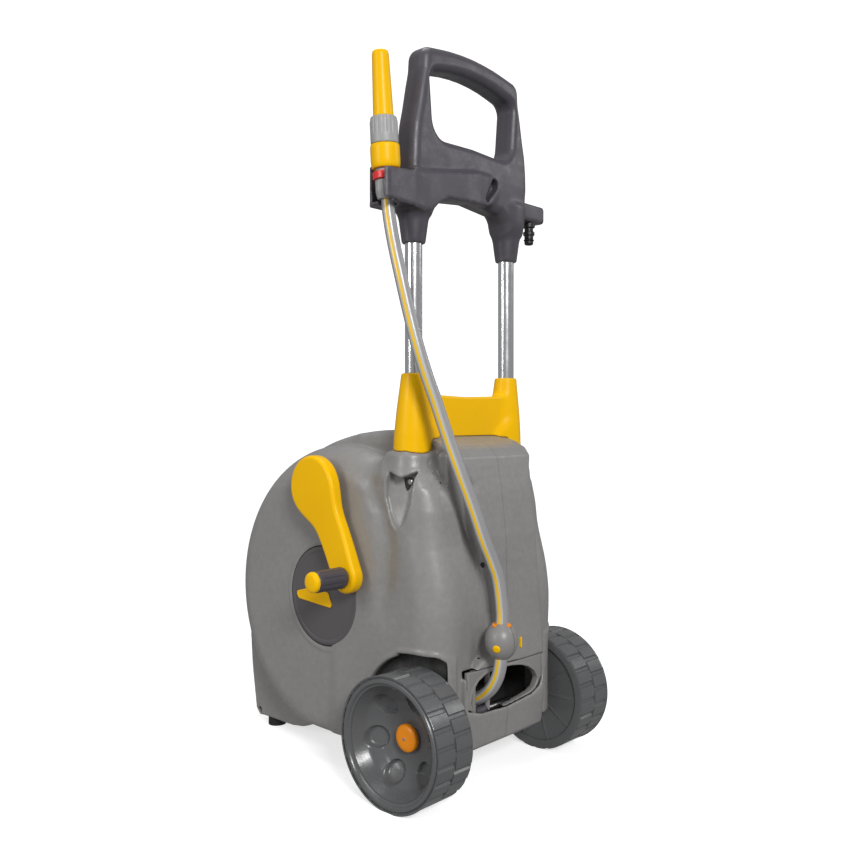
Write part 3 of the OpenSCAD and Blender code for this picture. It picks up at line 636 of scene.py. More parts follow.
def casing_outside(b):
    """The casing's closed outer form."""
    width = np.abs(b.x)
    keel_side = outline(b.y, b.z, KEEL_OUTLINE)
    past_panel = np.maximum(-b.x - np.interp(b.z, *PANEL_LEFT), b.x - np.interp(b.z, *PANEL_RIGHT))
    panel = both(keel_side, past_panel, 6)
    keel = both(both(keel_side, width - KEEL_X, 9), np.interp(b.z, (120, 170), (-31, -8)) - b.y, 3)
    keel = cut(keel, both(both(PANEL_X + 6 - width, b.y - 64), SEAT_Z - 1 - b.z), 2)
    drum = both(disc(b.y, b.z, DRUM_Y, HOUSING_Z, HOUSING_R), width - HALF_W, 42)
    drum = both(drum, 41 - b.z, 10)
    front = np.interp(b.z, *LOBE_FRONT)
    inner = np.interp(b.z, *LOBE_INNER)
    flank = width - HALF_W + np.where(b.x > 0, np.interp(b.z, (170, 250, 420), (0, 7, 9)), 0)
    plan = both(both(flank, front - b.y, 34), inner - width + np.maximum(front + 26 - b.y, 0) * 0.6, 10)
    lobe = both(outline(b.y, b.z, LOBE_OUTLINE), plan, 20)
    seat = both(outline(b.y, b.z, SEAT_OUTLINE), both(width - np.where(b.x > 0, 106, 113), 60 - width, 8), 6)
    foot = both(np.hypot(width - TUBE_X, b.y - TUBE_Y - 2) - FOOT_R, slab(b.z, 330, SEAT_Z), 3)
    body = join(join(keel, drum, 5), lobe, 9)
    body = join(join(body, seat, 20), foot, 16)
    body = join(body, panel, 3.5)
    trough = 5.5 * np.exp(-((b.y - np.interp(b.z, *VALLEY)) / 17) ** 2)
    trough = trough * np.clip((b.z - 200) / 50, 0, 1) * np.clip((405 - b.z) / 60, 0, 1)
    return body + trough * np.clip((width - 100) / 15, 0, 1)


def arch_room(b):
    """Side outline of the wheel's room."""
    round_part = disc(b.y, b.z, 0, AXLE_Z, ARCH_R)
    front_part = both(slab(b.y, -70, 30), slab(b.z, 0, ARCH_TOP), 2)
    return both(join(round_part, front_part, 6), ARCH_FRONT - b.y, 9)


BOAT = [(12, 393), (12.5, 370), (14.5, 355), (20, 338), (27, 327), (34, 323), (41, 328), (49, 343), (54, 361),
        (52.5, 380), (47.5, 392), (38, 388.5), (28.5, 385), (20, 388.5)]


def casing_cuts(b, solid):
    """Holes and recesses, cut once the walls have been made."""
    width = np.abs(b.x)
    solid = cut(solid, both(outline(b.x, b.z, WINDOW), b.y + 24), 1.2)
    for y, z in SEEN_SCREWS:
        solid = cut(solid, both(disc(b.y, b.z, y, z, SCREW_HOLE_R), slab(b.x, -84, -44)))
    solid = cut(solid, both(disc(width, b.y, TUBE_X, TUBE_Y, TUBE_R + 1), SEAT_Z - 25 - b.z))
    solid = cut(solid, both(disc(b.y, b.z, 0, AXLE_Z, AXLE_HOLE_R), width - 150))
    solid = cut(solid, both(disc(b.y, b.z, DRUM_Y, CRANK_Z, CRANK_HOLE_R), b.x + 90))
    solid = cut(solid, both(disc(b.y, b.z, DRUM_Y, DRUM_Z, INLET_HOLE_R), 90 - b.x))
    for start, way, r in DARK_HOLES:
        way = np.array(way) / np.linalg.norm(way)
        u, v, w = width - start[0], b.y - start[1], b.z - start[2]
        along = u * way[0] + v * way[1] + w * way[2]
        away = np.sqrt(np.maximum(u * u + v * v + w * w - along * along, 0))
        solid = cut(solid, both(away - r, np.abs(along - 5) - 11), 0.6)
    return solid


def casing_field(b):
    """The casing's wall, with the wheels' rooms, the side recesses and the screw posts."""
    width = np.abs(b.x)
    outside = casing_outside(b)
    arch = arch_room(b)
    lip = both(both(np.abs(arch - 3.5) - 2.5, outside - 1.4, 1), 90 - width)
    outside = join(outside, both(lip, 60 - b.z, 2), 2.5)
    outside = cut(outside, both(arch, np.interp(b.y, (0, 45), (98.5, ARCH_X)) - width), 1.2)
    depth = np.interp(b.y, (12, 20, 34, 54), (15, 20, 17, 7))
    depth = depth * np.interp(b.z, (322, 350, 390), (0.4, 0.8, 1.15))
    outside = cut(outside, both(outline(b.y, b.z, BOAT) - 0.5, HALF_W - depth - width, 2), 1.8)
    ring = np.abs(disc(b.y, b.z, DRUM_Y, DRUM_Z, COVER_SEAT_R)) - 2.5
    outside = join(outside, both(ring, slab(width, HALF_W - 6, HALF_W + 1), 1), 1.5)
    for y, z in SCREW_AT[1:]:
        well = both(disc(b.y, b.z, y, z, SCREW_WELL_R), slab(width, KEEL_X - 20, KEEL_X + 1.2), 1)
        outside = join(outside, both(well, outline(b.y, b.z, KEEL_OUTLINE)), 2)
    shell = both(outside, -(outside + WALL))
    for y, z in SCREW_AT:
        shell = join(shell, both(both(disc(b.y, b.z, y, z, SCREW_POST_R), width - 42), outside))
    return casing_cuts(b, shell)


def paint_arch_shade(half):
    """Paints shade into the wheel's room: its inside faces get a darker copy of the casing's plastic, which
    stands in for the shadow there.
    """
    centres = np.zeros(len(half.data.polygons) * 3)
    half.data.polygons.foreach_get("center", centres)
    spot = (centres.reshape(-1, 3) - np.array(ORIGIN)) / MM
    in_outline = arch_room(SimpleNamespace(y=spot[:, 1], z=spot[:, 2])) < 0.9
    inside = in_outline & (np.abs(np.abs(spot[:, 0]) - 108) < 13.5)
    half.data.materials.append(MATERIALS["painted_arch_shade"])
    half.data.polygons.foreach_set("material_index", inside.astype(np.int32))


def make_casing():
    block = Block((-131, -46, 8), (131, 402, 448), 2.25)
    field = casing_field(block)
    surface = skin(field)
    outside = casing_outside(block)
    # A black band inside the wall along the seam: painted shade that makes the gap between the halves read dark
    shade_band = both(both(outside + 1.6, -(outside + WALL)), np.abs(block.x) - 4)
    shade_band = carved("seam_shade_band", block, casing_cuts(block, shade_band), "black_plastic", 0.5)
    for name, node, side in (("left_casing", "left_shell", -1), ("right_casing", "right_shell", 1)):
        half = carved(name, block, field, "casing_grey", 0.45, surface, (0, 0, side), SEAM_HALF)
        paint_arch_shade(half)
        x, y, z = RECESS_SCREW
        head = soften([(0, 2.4), (3.4, 2), (4.2, 0.6), (4.2, -1), (0, -1)], 0.8)
        lathe(name + "_screw", along_x(side * x, y, z, side), head, "steel", 32).parent = half
        if side < 0:
            # A black disc at the bottom of the panel's screw hole: painted shade for the hole's dark depth
            shade_plug = [(0, 0), (4.3, 0), (4.3, -0.6), (0, -0.6)]
            lathe("panel_hole_shade", along_x(-44.2, *SCREW_AT[0]), shade_plug, "black_plastic", 32).parent = half
            shade_band.parent = half
        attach(half, "root")
        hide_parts(node)


make_casing()


# -------- handle

HANDLE_HALF = 18
COLLAR_Z = 676.5
LUG_END = 171
NOZZLE_AT = (-143.5, 32, 729)
NOZZLE_LEAN = 4
HANDLE_SIDE = ([(111, 714), (113, 725), (116, 750), (117, 775), (116, 800), (113.5, 822), (108, 845),
                (103, 870), (98, 892)] + arc(80, TOP_Z - 25, 17, 17, 0, 72, 5)
               + [(65, TOP_Z - 5.5), (45, TOP_Z - 2.6), (22, TOP_Z - 0.7)])
HANDLE_ARCH = [(-76, 714), (-70, 726), (-58, 735), (0, 741), (58, 735), (70, 726), (76, 714)]
HANDLE_OUTLINE = HANDLE_SIDE + [(0, TOP_Z)] + [(-x, z) for x, z in HANDLE_SIDE[::-1]] + HANDLE_ARCH
GRIP_HOLE = (arc(-55, 836, 24, 26, 180, 270, 6) + [(0, 812)] + arc(55, 836, 24, 26, 270, 360, 6)
             + arc(70, 880, 13, 13, 0, 75, 5) + [(58, 896), (40, 899.2), (20, 901.3), (0, 902), (-20, 901.3),
             (-40, 899.2), (-58, 896)] + arc(-70, 880, 13, 13, 105, 180, 5))
BAND = [(-167, 719), (-120, 717), (-100, 713), (-86, 717), (-74, 727), (-60, 735), (0, 737), (22, 739),
        (38, 746), (49, 757), (52, 768), (46, 776), (30, 779), (-4, 778), (-52, 769), (-100, 761),
        (-167, 756)]
BAND_FRONT = ((-170, -160, -100, -60, -22, 0, 20, 38, 56), (12, 9.5, 8.5, 6.5, 4, 4.6, 7.5, 12, 19))
SLOT_X, SLOT_Z = 30, 760
SLOT_WAY = (0.66, 0.75)
SLOT_HALF, SLOT_R = 14, 7.0
HOLDER_X, HOLDER_Y = -142.5, 31
HANDLE_SCREWS = [(-93, 858), (93, 858), (-102, 788), (102, 788), (0, 776)]


def yoke_band(b):
    """The front band of the yoke, which runs on as the front wall of the nozzle's holder."""
    front = np.interp(b.x, *BAND_FRONT)
    back = front + np.interp(b.x, (-118, -106), (4.2, 16))
    band = both(outline(b.x, b.z, BAND), np.maximum(front - b.y, b.y - back), 3.5)
    along, up = SLOT_WAY
    u = (b.x - SLOT_X) * along + (b.z - SLOT_Z) * up
    v = (b.z - SLOT_Z) * along - (b.x - SLOT_X) * up
    slot = np.hypot(np.maximum(np.abs(u) - SLOT_HALF, 0), v) - SLOT_R - 1.5 * np.clip(u / SLOT_HALF, -1, 1)
    return band, both(slot, b.y - 24)


def nozzle_holder(b):
    """Floor, back and web of the nozzle's holder, with the hose's notch in the floor."""
    floor = both(both(slab(b.x, -150, -98), slab(b.y, 11, 60), 8), slab(b.z, 717, 721.5), 1.2)
    hose = both(disc(b.x, b.y, HOLDER_X, HOLDER_Y, 10.5), slab(b.z, 700, 730))
    way = both(both(b.x - HOLDER_X, slab(b.y, HOLDER_Y - 10.5, HOLDER_Y + 10.5)), slab(b.z, 700, 730))
    floor = cut(floor, join(hose, way), 1)
    back = cuboid(b, (-146, 57, 717), (-98, 61, 767), 1.6)
    web = cuboid(b, (-116, 10, 717), (-104, 60, 765), 3)
    return join(join(back, floor, 2), web, 4)


def handle_field(b):
    middle = TUBE_Y - 5 * np.clip((b.z - 700) / 80, 0, 1)
    body = both(outline(b.x, b.z, HANDLE_OUTLINE), np.abs(b.y - middle) - HANDLE_HALF, 12)
    body = both(body, -outline(b.x, b.z, GRIP_HOLE), 11)
    leg_r = 14.8 + np.clip(b.z - COLLAR_Z, 0, 55) * 0.135
    leg = both(np.hypot(np.abs(b.x) - TUBE_X, b.y - TUBE_Y) - leg_r, slab(b.z, COLLAR_Z, 752), 2)
    body = join(body, leg, 12)
    band, slot = yoke_band(b)
    body = join(body, band, 8)
    body = join(body, nozzle_holder(b), 3)
    body = join(body, cuboid(b, (100, TUBE_Y - 12, 740), (LUG_END, TUBE_Y + 10, 765), 5), 7)
    body = cut(body, slot, 1.5)
    for x, z in HANDLE_SCREWS:
        body = cut(body, both(disc(b.x, b.z, x, z, 4.6), middle + HANDLE_HALF - 6 - b.y), 0.8)
    tubes = both(np.hypot(np.abs(b.x) - TUBE_X, b.y - TUBE_Y) - TUBE_R, b.z - 760)
    return cut(body, tubes, 0.5)


def make_handle():
    block = Block((-170, 1, 674), (176, 66, TOP_Z + 4), 1.6)
    field = handle_field(block)
    surface = skin(field)
    for name, node, side in (("handle_front_half", "handle_front", -1), ("handle_back_half", "handle_back", 1)):
        half = carved(name, block, field, "dark_plastic", 0.4, surface, (1, TUBE_Y, side), 0.12)
        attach(half, "handle")
        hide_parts(node)


make_handle()


# -------- bracket

TOWER_Z = 515
TOWER_Y = TUBE_Y + 3
TOWER_R = ((400, 415, 440, 470, 500, 515), (24, 24, 23, 20.5, 17, 15.3))


def bracket_field(b):
    width = np.abs(b.x)
    middle = TOWER_Y - 2.5 * np.clip((b.z - 430) / 85, 0, 1)
    radius = np.interp(b.z, *TOWER_R)
    round_part = np.hypot((width - TUBE_X) * 1.05, b.y - middle) - radius
    tower = both(round_part, slab(b.z, 400, TOWER_Z), 2)
    plate = both(both(width - 90, slab(b.y, 26, 46)), b.z - 487 - width * 0.03, 3)
    skirt = both(both(slab(width, 56, 84), slab(b.y, 22, 52), 6), b.z - 432 - (width - 56) * 0.8, 5)
    shape = join(join(tower, plate, 9), skirt, 14)
    shape = both(shape, 0.3 - casing_outside(b))
    return cut(shape, np.hypot(width - TUBE_X, b.y - TUBE_Y) - TUBE_R - 0.15, 0.6)


def make_bracket():
    block = Block((-132, 4, 408), (132, 68, TOWER_Z + 4), 1.6)
    bracket = carved("handle_bracket_moulding", block, bracket_field(block), "amber_plastic", 0.35)
    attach(bracket, "root")
    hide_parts("handle_bracket")


make_bracket()


# -------- crank

# The arm's outer and inner face
ARM_X = (-151, -133)
BOSS_R, ARM_WAIST_R, ARM_END_R = 39, 27, 21
GRIP_R = 13.5
GRIP_START, GRIP_END = -151.4, -205


def arm_field(b):
    link = Vector((GRIP_Y - DRUM_Y, GRIP_Z - CRANK_Z))
    span = link.length
    along = ((b.y - DRUM_Y) * link.x + (b.z - CRANK_Z) * link.y) / span
    across = ((b.z - CRANK_Z) * link.x - (b.y - DRUM_Y) * link.y) / span
    t = np.clip(along / span, 0, 1)
    radius = ARM_WAIST_R + (ARM_END_R - ARM_WAIST_R) * t
    taper = np.hypot(along - t * span, across + 2.5 * np.sin(t * math.pi)) - radius
    side = join(taper, disc(b.y, b.z, DRUM_Y, CRANK_Z, BOSS_R), 26)
    low = ARM_X[0] + 2.2 * np.sin(t * math.pi) ** 2
    shape = both(side, np.maximum(low - b.x, b.x - ARM_X[1]), 5)
    ring = np.abs(np.hypot(b.y - DRUM_Y, b.z - CRANK_Z) - 22) - 8
    shape = cut(shape, both(ring, ARM_X[1] - 12 - b.x), 1)
    shape = cut(shape, both(disc(b.y, b.z, DRUM_Y, CRANK_Z, 8), -146 - b.x))
    return cut(shape, both(disc(b.y, b.z, GRIP_Y, GRIP_Z, 5), b.x - ARM_X[1]))


def flute(a, r, h):
    """Shallow hollows round the grip, away from its ends."""
    if r < GRIP_R - 1.5:
        return r, h
    middle = max(0.0, 1 - ((h - 23.5) / 19.5) ** 6)
    return r - 0.9 * middle * max(0.0, math.cos(10 * a)) ** 0.7, h


def make_crank():
    block = Block((-154, 75, 232), (-130, 212, 414), 1.5)
    arm = carved("crank_arm_moulding", block, arm_field(block), "amber_plastic", 0.35)
    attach(arm, "crank")
    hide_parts("crank_arm")
    length = GRIP_START - (GRIP_END + 7)
    waist = [(GRIP_R, 3 + (length - 6) * i / 12) for i in range(13)]
    profile = [(5.1, 0)] + soften([(5.1, 0), (12.6, 0), (GRIP_R, 3)], 1.5)[1:] + waist[1:]
    profile += soften([waist[-1], (12.6, length), (5.1, length)], 1.5)[1:] + [(5.1, 0)]
    place = along_x(GRIP_START, GRIP_Y, GRIP_Z)
    grip = lathe("crank_grip_sleeve", place, profile, "dark_plastic", 120, flute)
    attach(grip, "grip")
    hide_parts("crank_grip")
    dome = [(0, 6.9), (4, 6.8)] + soften([(4, 6.8), (10, 6), (12.9, 3.5), (12.9, 0.2)], 3)[1:] + [(0, 0.2)]
    cap = lathe("grip_end_cap", along_x(GRIP_END + 6.9, GRIP_Y, GRIP_Z), dome, "amber_plastic")
    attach(cap, "crank")
    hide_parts("grip_cap")


make_crank()


# -------- covers and badge

COVER_R = 65
# The badge's middle, out from the cover's
BADGE = (12, -4)
BADGE_OUTLINE = [(-27, -5.5), (33, -1), (35, 2), (12, 8), (0, 8), (-22, 6)]


def make_covers():
    for name, node, facing, hole in (("left_hub_cover", "left_cover", -1, 0),
                                     ("right_hub_cover", "right_cover", 1, 18)):
        place = along_x(facing * HALF_W, DRUM_Y, DRUM_Z, facing)
        rim = [(hole, 0), (COVER_R, 0), (COVER_R, 1.6), (COVER_R - 2.5, 3.2), (COVER_R - 6, 3.2),
               (COVER_R - 7.5, 2.5), (COVER_R - 9, 2.9), (max(hole, 24), 3.9), (hole, 4.0)]
        profile = soften(rim, 0.8, 3) + ([rim[0]] if hole else [])
        cover = lathe(name, place, profile, "cover_dark", 120, None, 25)
        # A black ring in the gap round the cover's edge: painted shade for the shadow in that gap
        ring = [(COVER_R - 0.5, 0.9), (COVER_R + 1.6, 0.9), (COVER_R + 1.6, 0), (COVER_R - 0.5, 0)]
        lathe(name + "_gap_shade", place, ring, "black_plastic", 120).parent = cover
        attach(cover, "root")
        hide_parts(node)
    middle = Vector((DRUM_Y + BADGE[0], DRUM_Z + BADGE[1]))
    block = Block((-131.5, middle.x - 42, middle.y - 15), (-127.5, middle.x + 42, middle.y + 15), 0.6)
    plate = outline(block.y - middle.x, block.z - middle.y, BADGE_OUTLINE) - 4
    body = both(plate, slab(block.x, -130.5, -128.9), 0.5)
    body = cut(body, both(plate + 2.2, block.x + 130.1), 0.4)
    badge = carved("plain_badge", block, body, "amber_plastic", 0.3)
    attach(badge, "root")
    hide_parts("cover_badge")


make_covers()


# -------- wheels

WHEEL_OUT = 176
WHEEL_W = 63
HUB_END = WHEEL_W - 36
HUB_OUT = WHEEL_OUT - 36
LUGS = 24
LUG_HEIGHT = 2.4
WHEEL_SIDES = LUGS * 12
SCOOPS, SCOOP_AT, SCOOP_R, SCOOP_DEPTH = 6, 46, 14, 6.5
RIBS = 10


def tread(a, r, h):
    """Sinks the gaps between the tread's lugs, in two staggered rows that a centre line divides."""
    if r < AXLE_Z - 1.2 or h < 2 or h > WHEEL_W - 2.5:
        return r, h
    row = 0.5 if h > WHEEL_W / 2 else 0
    turn = (a * LUGS / (2 * math.pi) + row) % 1
    gap = min(turn, 1 - turn) < 0.12 or abs(h - WHEEL_W / 2) < 1.0
    return r - (LUG_HEIGHT if gap else 0), h


def scoops(a, r, h):
    """Six round hollows in the web."""
    deepest = 0.0
    for i in range(SCOOPS):
        c = math.radians(360 / SCOOPS * i + 40)
        away = math.hypot(r * math.cos(a) - SCOOP_AT * math.cos(c), r * math.sin(a) - SCOOP_AT * math.sin(c))
        t = min(max((SCOOP_R - away) / 3, 0), 1)
        deepest = max(deepest, t * t * (3 - 2 * t))
    return r, h - SCOOP_DEPTH * deepest


# The web's outer face, by radius, for telling it from the inner one
WEB_R, WEB_H = (15.5, 30, 44, 57, 62, 66.6), (24, 26, 31.5, 41, 49, 57)


def ribs(a, r, h):
    """Low ribs on the wheel's inner side."""
    if not 19 < r < 66:
        return r, h
    rib = abs((a * RIBS / (2 * math.pi)) % 1 - 0.5) * 2 * math.pi * r / RIBS < 1.1
    return r, h - (1.2 if rib else 0)


def make_wheel(name, node, cap_name, cap_node, facing, body):
    place = along_x(facing * (WHEEL_OUT - WHEEL_W), 0, AXLE_Z, facing)
    w = WHEEL_W
    steps = [2.5, 3.0, 12, 22] + [w / 2 + d for d in (-1.2, -0.8, 0, 0.8, 1.2)] + [42, 52, w - 3.5, w - 3]
    band = [(66.5, w - 6), (66.5, 0.8), (67.5, 0), (75.5, 0), (AXLE_Z - 1.0, 1.2), (AXLE_Z, 2.0)]
    band += [(AXLE_Z, h) for h in steps]
    band += [(AXLE_Z, w - 2.6), (AXLE_Z - 1.2, w - 1), (79.8, w - 0.6), (79, w - 1.2), (78.4, w - 2.6),
             (76.4, w - 2.8), (75.6, w - 1), (74.8, w), (71.4, w), (70.4, w - 0.8), (69.6, w - 2.8),
             (68.2, w - 3.4), (67.2, w - 4), (66.5, w - 6)]
    rim = lathe(name, place, band, "wheel_plastic", WHEEL_SIDES, tread, 30)
    web_out = soften([(6.1, HUB_END), (14.5, HUB_END), (15.5, HUB_END - 3), (30, w - 37), (44, w - 31.5),
                      (57, w - 22), (62, w - 14), (66.6, w - 6)], 3, 5)
    fine = []
    for (r0, h0), (r1, h1) in zip(web_out, web_out[1:]):
        n = max(1, int(math.hypot(r1 - r0, h1 - h0) / 1.3))
        fine += [(r0 + (r1 - r0) * i / n, h0 + (h1 - h0) * i / n) for i in range(n)]
    back = [(66.6, 2.5), (50, 2.8), (34, 3.1), (18.5, 3.4), (18, 3.4), (16, 1), (6.1, 1), (6.1, HUB_END)]
    web = lathe(name + "_web", place, fine + [web_out[-1]] + back, "wheel_plastic", 240,
                lambda a, r, h: scoops(a, r, h) if h > np.interp(r, WEB_R, WEB_H) - 3 else ribs(a, r, h), 40)
    web.parent = rim
    dome = [(0, 8.2), (2.2, 8.2), (2.4, 7.6), (4.2, 7.6)]
    dome += soften([(4.2, 7.6), (12, 7), (16.6, 5), (16.6, -0.8), (13.95, -0.8)], 2)[1:]
    dome += [(13.95, -2), (0, -2)]
    cap = lathe(cap_name, along_x(facing * HUB_OUT, 0, AXLE_Z, facing), dome, "deep_orange", 72, None, 35)
    pin = [(0, 0.6), (1.6, 0.5), (2.3, 0), (2.3, -3), (0, -3)]
    lathe(cap_name + "_pin", along_x(facing * (HUB_OUT + 8), 0, AXLE_Z, facing), pin, "steel", 32).parent = cap
    for piece, cad in ((rim, node), (cap, cap_node)):
        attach(piece, body)
        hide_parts(cad)


make_wheel("left_wheel_moulding", "wheel_left", "left_wheel_cap", "hub_cap_left", -1, "wheel_left_body")
make_wheel("right_wheel_moulding", "wheel_right", "right_wheel_cap", "hub_cap_right", 1, "wheel_right_body")


# -------- hose outlet and ball

GUIDE_X, GUIDE_Y = -43.5, -31
POST_GAP, POST_R = 28, 3.5
ROLLER_Z = 95
STOP_AT = (-43, -64, 188)
STOP_R = 24.0
STOP_SLIM = 0.84
# The two catches on the ball and the small eyes beside the hose, as ways out from its middle
CATCH_WAY = (-0.88, -0.32, -0.33)
RIGHT_CATCH_WAY = (0.88, -0.2, 0.1)
EYE_WAYS = [(-10.1, 2.1, 19.5), (1.3, -10.2, 19.5), (10.1, -2.1, 19.5), (-1.3, 10.2, 19.5)]
PANEL_CATCH_X, PANEL_CATCH_Z = 26.4, 169.5
BEZEL_GAP = 1.2
HOLE = [(-64, 112), (-61, 122), (-53, 130), (-40, 135.5), (-24, 137.2), (-6, 137.2), (12, 136), (30, 133),
        (45, 128), (56, 121), (60.5, 114.5), (57, 109.5), (48, 106.3), (32, 103.8), (11, 101.5), (-10, 100.3),
        (-30, 100), (-50, 101), (-61, 104)]


def bezel_field(b):
    """The outlet's frame, with its lip, the two guide posts and the roller's notch."""
    edge = outline(b.x, b.z, WINDOW) + BEZEL_GAP
    plate = both(edge, slab(b.y, -38.5, -32), 1.2)
    hole = outline(b.x, b.z, HOLE) - 6
    shape = cut(plate, hole, 2)
    lip = both(np.abs(hole - 1.5) - 1.4, slab(b.y, -39.5, -30), 0.8)
    shape = join(shape, both(lip, edge), 1)
    posts = np.hypot(np.abs(b.x - GUIDE_X) - POST_GAP / 2, b.y - GUIDE_Y) - POST_R
    shape = join(shape, both(posts, slab(b.z, 93, 148), 1), 1.5)
    shape = cut(shape, cuboid(b, (GUIDE_X - 10.3, -41, 88.4), (GUIDE_X + 10.3, -20, ROLLER_Z + 8), 0.5))
    return cut(shape, both(disc(b.y, b.z, GUIDE_Y, ROLLER_Z, 2), np.abs(b.x - GUIDE_X) - 20))


def ball_field(b):
    x, y, z = (v - c for v, c in zip((b.x, b.y, b.z), STOP_AT))
    ball = np.sqrt((x * x + y * y) / STOP_SLIM ** 2 + z * z) - STOP_R
    ball = both(ball * STOP_SLIM, np.abs(z) - 22.4, 1.5)
    ball = cut(ball, np.hypot(x, y) - HOSE_D / 2 - 0.15, 0.4)
    for u, v, w in EYE_WAYS:
        ball = cut(ball, np.sqrt((x - u) ** 2 + (y - v) ** 2 + (z - w) ** 2) - 3.4, 0.5)
    return ball


def on_ball(way, off):
    """A place off the ball's surface, with its Z axis pointing out."""
    out = Vector(way).normalized()
    reach = STOP_R / math.sqrt((out.x ** 2 + out.y ** 2) / STOP_SLIM ** 2 + out.z ** 2)
    spot = at(*(c + v * (reach + off) for c, v in zip(STOP_AT, out)))
    return Matrix.Translation(spot) @ out.to_track_quat("Z", "Y").to_matrix().to_4x4()


def make_outlet():
    block = Block((-80, -41, 88), (80, -25, 153), 1.0)
    bezel = carved("outlet_bezel_moulding", block, bezel_field(block), "casing_grey", 0.4)
    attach(bezel, "root")
    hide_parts("outlet_bezel")
    block = Block([c - STOP_R - 2 for c in STOP_AT], [c + STOP_R + 2 for c in STOP_AT], 0.9)
    field = ball_field(block)
    surface = skin(field)
    for name, node, side in (("ball_left_half", "hose_stop_left", -1),
                             ("ball_right_half", "hose_stop_right", 1)):
        half = carved(name, block, field, "casing_grey", 0.5, surface, (0, STOP_AT[0], side), SEAM_HALF)
        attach(half, "root")
        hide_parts(node)
    # A thin black disc inside the ball at its seam: painted shade that makes the seam read dark
    seam_shade = both(field + 0.7, np.abs(block.x - STOP_AT[0]) - 1.6)
    seam_shade = carved("ball_seam_shade", block, seam_shade, "black_plastic", 0.8)
    dome = soften([(0, 1.5), (3.4, 1.2), (4.9, 0.2), (4.9, -2.5), (0, -2.5)], 1)
    buttons = lathe("ball_catches", on_ball(CATCH_WAY, 0), dome, "amber_plastic", 40)
    lathe("ball_catch_right", on_ball(RIGHT_CATCH_WAY, 0), dome, "amber_plastic", 40).parent = buttons
    seam_shade.parent = buttons
    ring = soften([(3.2, -1.5), (3.2, 0.7), (2.5, 1.3), (1.7, 0.8), (1.5, -1.5)], 0.4) + [(3.2, -1.5)]
    for way in EYE_WAYS:
        eye = lathe("ball_eyelet", on_ball(way, -0.9), ring, "deep_orange", 28)
        eye.parent = buttons
        # A black disc at the bottom of each eye: painted shade for the hole's dark depth
        shade_plug = [(0, 0), (2, 0), (2, -0.5), (0, -0.5)]
        lathe("ball_eyelet_shade", on_ball(way, -1.6), shade_plug, "black_plastic", 20).parent = buttons
    block = Block((22, -45, 158), (31, -35, 181), 0.6)
    past_end = np.maximum(np.abs(block.z - PANEL_CATCH_Z) - 5.5, 0)
    tab = both(np.hypot(past_end, block.x - PANEL_CATCH_X) - 1.5, slab(block.y, -43, -37), 0.6)
    carved("panel_catch", block, tab, "amber_plastic", 0.6).parent = bezel
    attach(buttons, "root")
    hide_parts("stop_buttons")


make_outlet()


# -------- nozzle and connector

LEANT = Matrix.Translation(at(*NOZZLE_AT)) @ Matrix.Rotation(math.radians(-NOZZLE_LEAN), 4, "Y")


def collar_ribs(a, r, h):
    if r < 16 or h < 69:
        return r, h
    return r - 0.9 * (0.5 + 0.5 * math.cos(18 * a)) ** 3 * min(1, (h - 69) / 2), h


def nut_ribs(a, r, h):
    return (r - 0.5 * max(0.0, math.cos(24 * a)), h) if r > 12.1 and -5 < h < 15 else (r, h)


def ringed(low, high, inner, outer, step=1.5):
    """Outline of a plain ring with bevelled edges, closed."""
    n = max(2, int((high - low) / step))
    side = [(outer, low + 0.8 + (high - low - 1.6) * i / n) for i in range(n + 1)]
    return [(inner, low), (outer - 0.8, low)] + side + [(outer - 0.8, high), (inner, high), (inner, low)]


def make_nozzle():
    made = []

    def add(name, node, body, profile, material, sides=72, shape=None, sharp=32):
        piece = lathe(name, LEANT, profile, material, sides, shape, sharp)
        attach(piece, body)
        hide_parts(node)
        made.append(piece)

    nut = [(8.6, -6), (11.4, -6), (12, -5.4)]
    nut += [(12 + 1.8 * i / 10, -5.4 + 8.4 * i / 10) for i in range(1, 11)]
    nut += [(13.8, h) for h in (5, 8, 11, 14, 16)] + [(13.2, 16.7), (8.6, 16.7), (8.6, -6)]
    add("hose_nut_moulding", "hose_nut", "handle", nut, "light_plastic", 144, nut_ribs)
    add("red_ring", "connector_ring", "handle", ringed(16.9, 26, 13.2, 16.5), "red_plastic")
    sleeve = soften([(13.2, 30), (16.6, 30), (17.6, 33), (18, 38), (18, 54), (17.4, 58.5), (13.2, 58.5)], 1.2)
    add("release_sleeve", "connector_sleeve", "sleeve", sleeve + [(13.2, 30)], "amber_plastic")
    collar = soften([(8.4, 59), (16.4, 59), (17, 60), (17, 68)], 0.6) + [(17, 69 + i) for i in range(17)]
    collar += soften([(17, 86), (15.6, 91), (8.4, 91)], 1)[1:] + [(8.4, 59)]
    add("ribbed_collar", "nozzle_collar", "handle", collar, "light_plastic", 216, collar_ribs, 40)
    barrel = soften([(3.2, 91.5), (12.2, 91.5), (12.5, 92.5), (10.3, 165), (9.4, 168.6), (7.6, 169.5),
                     (4.6, 169.3), (3.2, 167), (3.2, 91.5)], 0.9)
    add("spray_barrel", "nozzle_barrel", "barrel", barrel, "amber_plastic")
    return made


NOZZLE = make_nozzle()
SPIGOT_AT = (148, 35)


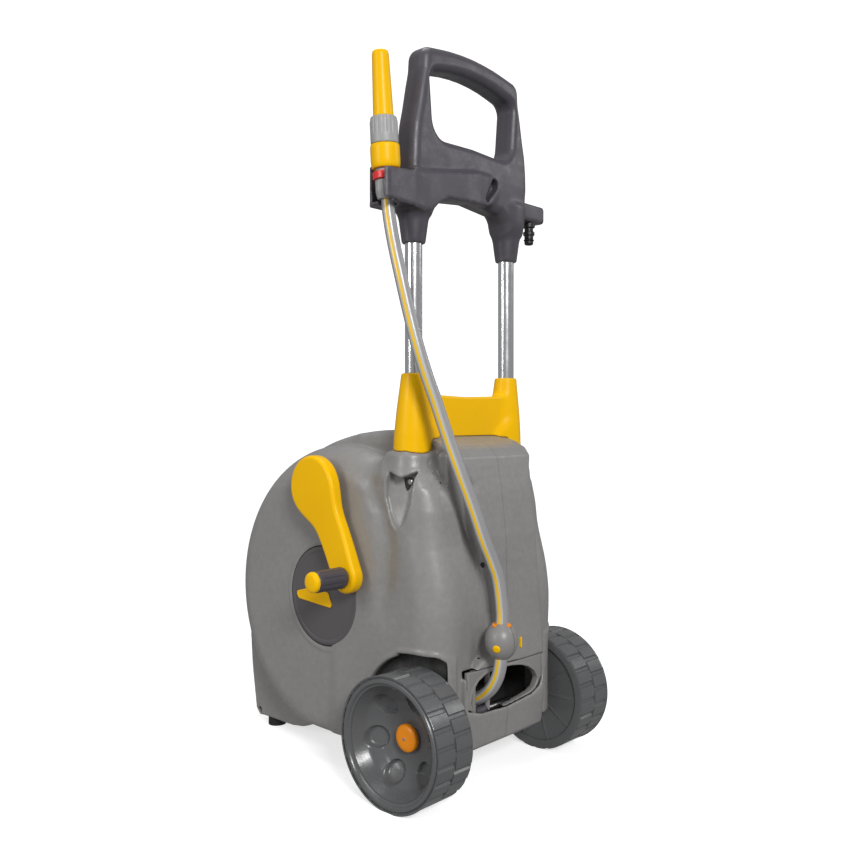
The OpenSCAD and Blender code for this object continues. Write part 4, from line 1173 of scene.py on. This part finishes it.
def make_spigot():
    """The ridged spigot under the handle's lug, with its seal."""
    body = soften([(4.2, 709), (5.4, 709), (6.5, 710.6), (6.5, 713.6)], 0.8)
    body += [(5.5, 713.8), (5.5, 717.2), (6.5, 717.4), (6.5, 721.5), (8.3, 723), (8.3, 727), (6.3, 728.5),
             (6.3, 732.5), (8.8, 734), (8.8, 741.5), (4.2, 741.5), (4.2, 709)]
    ring = [(6.7 + 0.9 * math.cos(t), 715.5 + 0.9 * math.sin(t)) for t in np.linspace(0, 2 * math.pi, 13)]
    for name, node, profile, material in (("ridged_spigot", "parking_spigot", body, "black_plastic"),
                                          ("spigot_ring", "spigot_seal", ring, "rubber_black")):
        piece = lathe(name, Matrix.Translation(at(*SPIGOT_AT, 0)), profile, material, 48)
        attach(piece, "handle")
        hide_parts(node)


make_spigot()


# -------- studio

SKY_LIGHT, FLOOR_GLOW = 0.28, 0.6
# Each lamp: its place from the object's middle in metres, power and size
LAMPS = {"key": ((-1.7, -2.8, 1.5), 76, 0.8), "left": ((-2.9, 0.5, 0.9), 20, 0.9),
         "right": ((2.2, -1.8, 1.3), 8, 0.8), "top": ((0, 0.2, 2.6), 22, 1.4)}


def make_studio():
    """A pale seamless floor and soft lamps."""
    world = bpy.data.worlds.new("world")
    world.use_nodes = True
    bpy.context.scene.world = world
    sky = world.node_tree.nodes["Background"]
    sky.inputs["Color"].default_value = (1, 1, 1, 1)
    sky.inputs["Strength"].default_value = SKY_LIGHT
    bpy.context.scene.view_settings.view_transform = "Standard"
    view = Vector((math.sin(math.radians(CAMERA_YAW)), math.cos(math.radians(CAMERA_YAW)), 0))
    side = Vector((view.y, -view.x, 0))
    bend = [(-3.5, 0)] + [(1.6 + 1.2 * math.sin(math.radians(a)), 1.2 - 1.2 * math.cos(math.radians(a)))
                          for a in range(0, 91, 9)] + [(2.8, 4.5)]
    points = [view * out + side * across + Vector((0, 0, up)) for out, up in bend for across in (-6, 6)]
    faces = [(2 * i, 2 * i + 1, 2 * i + 3, 2 * i + 2) for i in range(len(bend) - 1)]
    shader = MATERIALS["floor_white"].node_tree.nodes["Principled BSDF"]
    shader.inputs["Emission Color"].default_value = (1, 1, 1, 1)
    shader.inputs["Emission Strength"].default_value = FLOOR_GLOW
    floor = mesh_object("floor", points, faces, "floor_white")
    floor.visible_diffuse = floor.visible_glossy = False
    middle = at(0, 100, 400)
    for name, (way, power, size) in LAMPS.items():
        area_light(name, middle + Vector(way), middle, power, size)


make_studio()
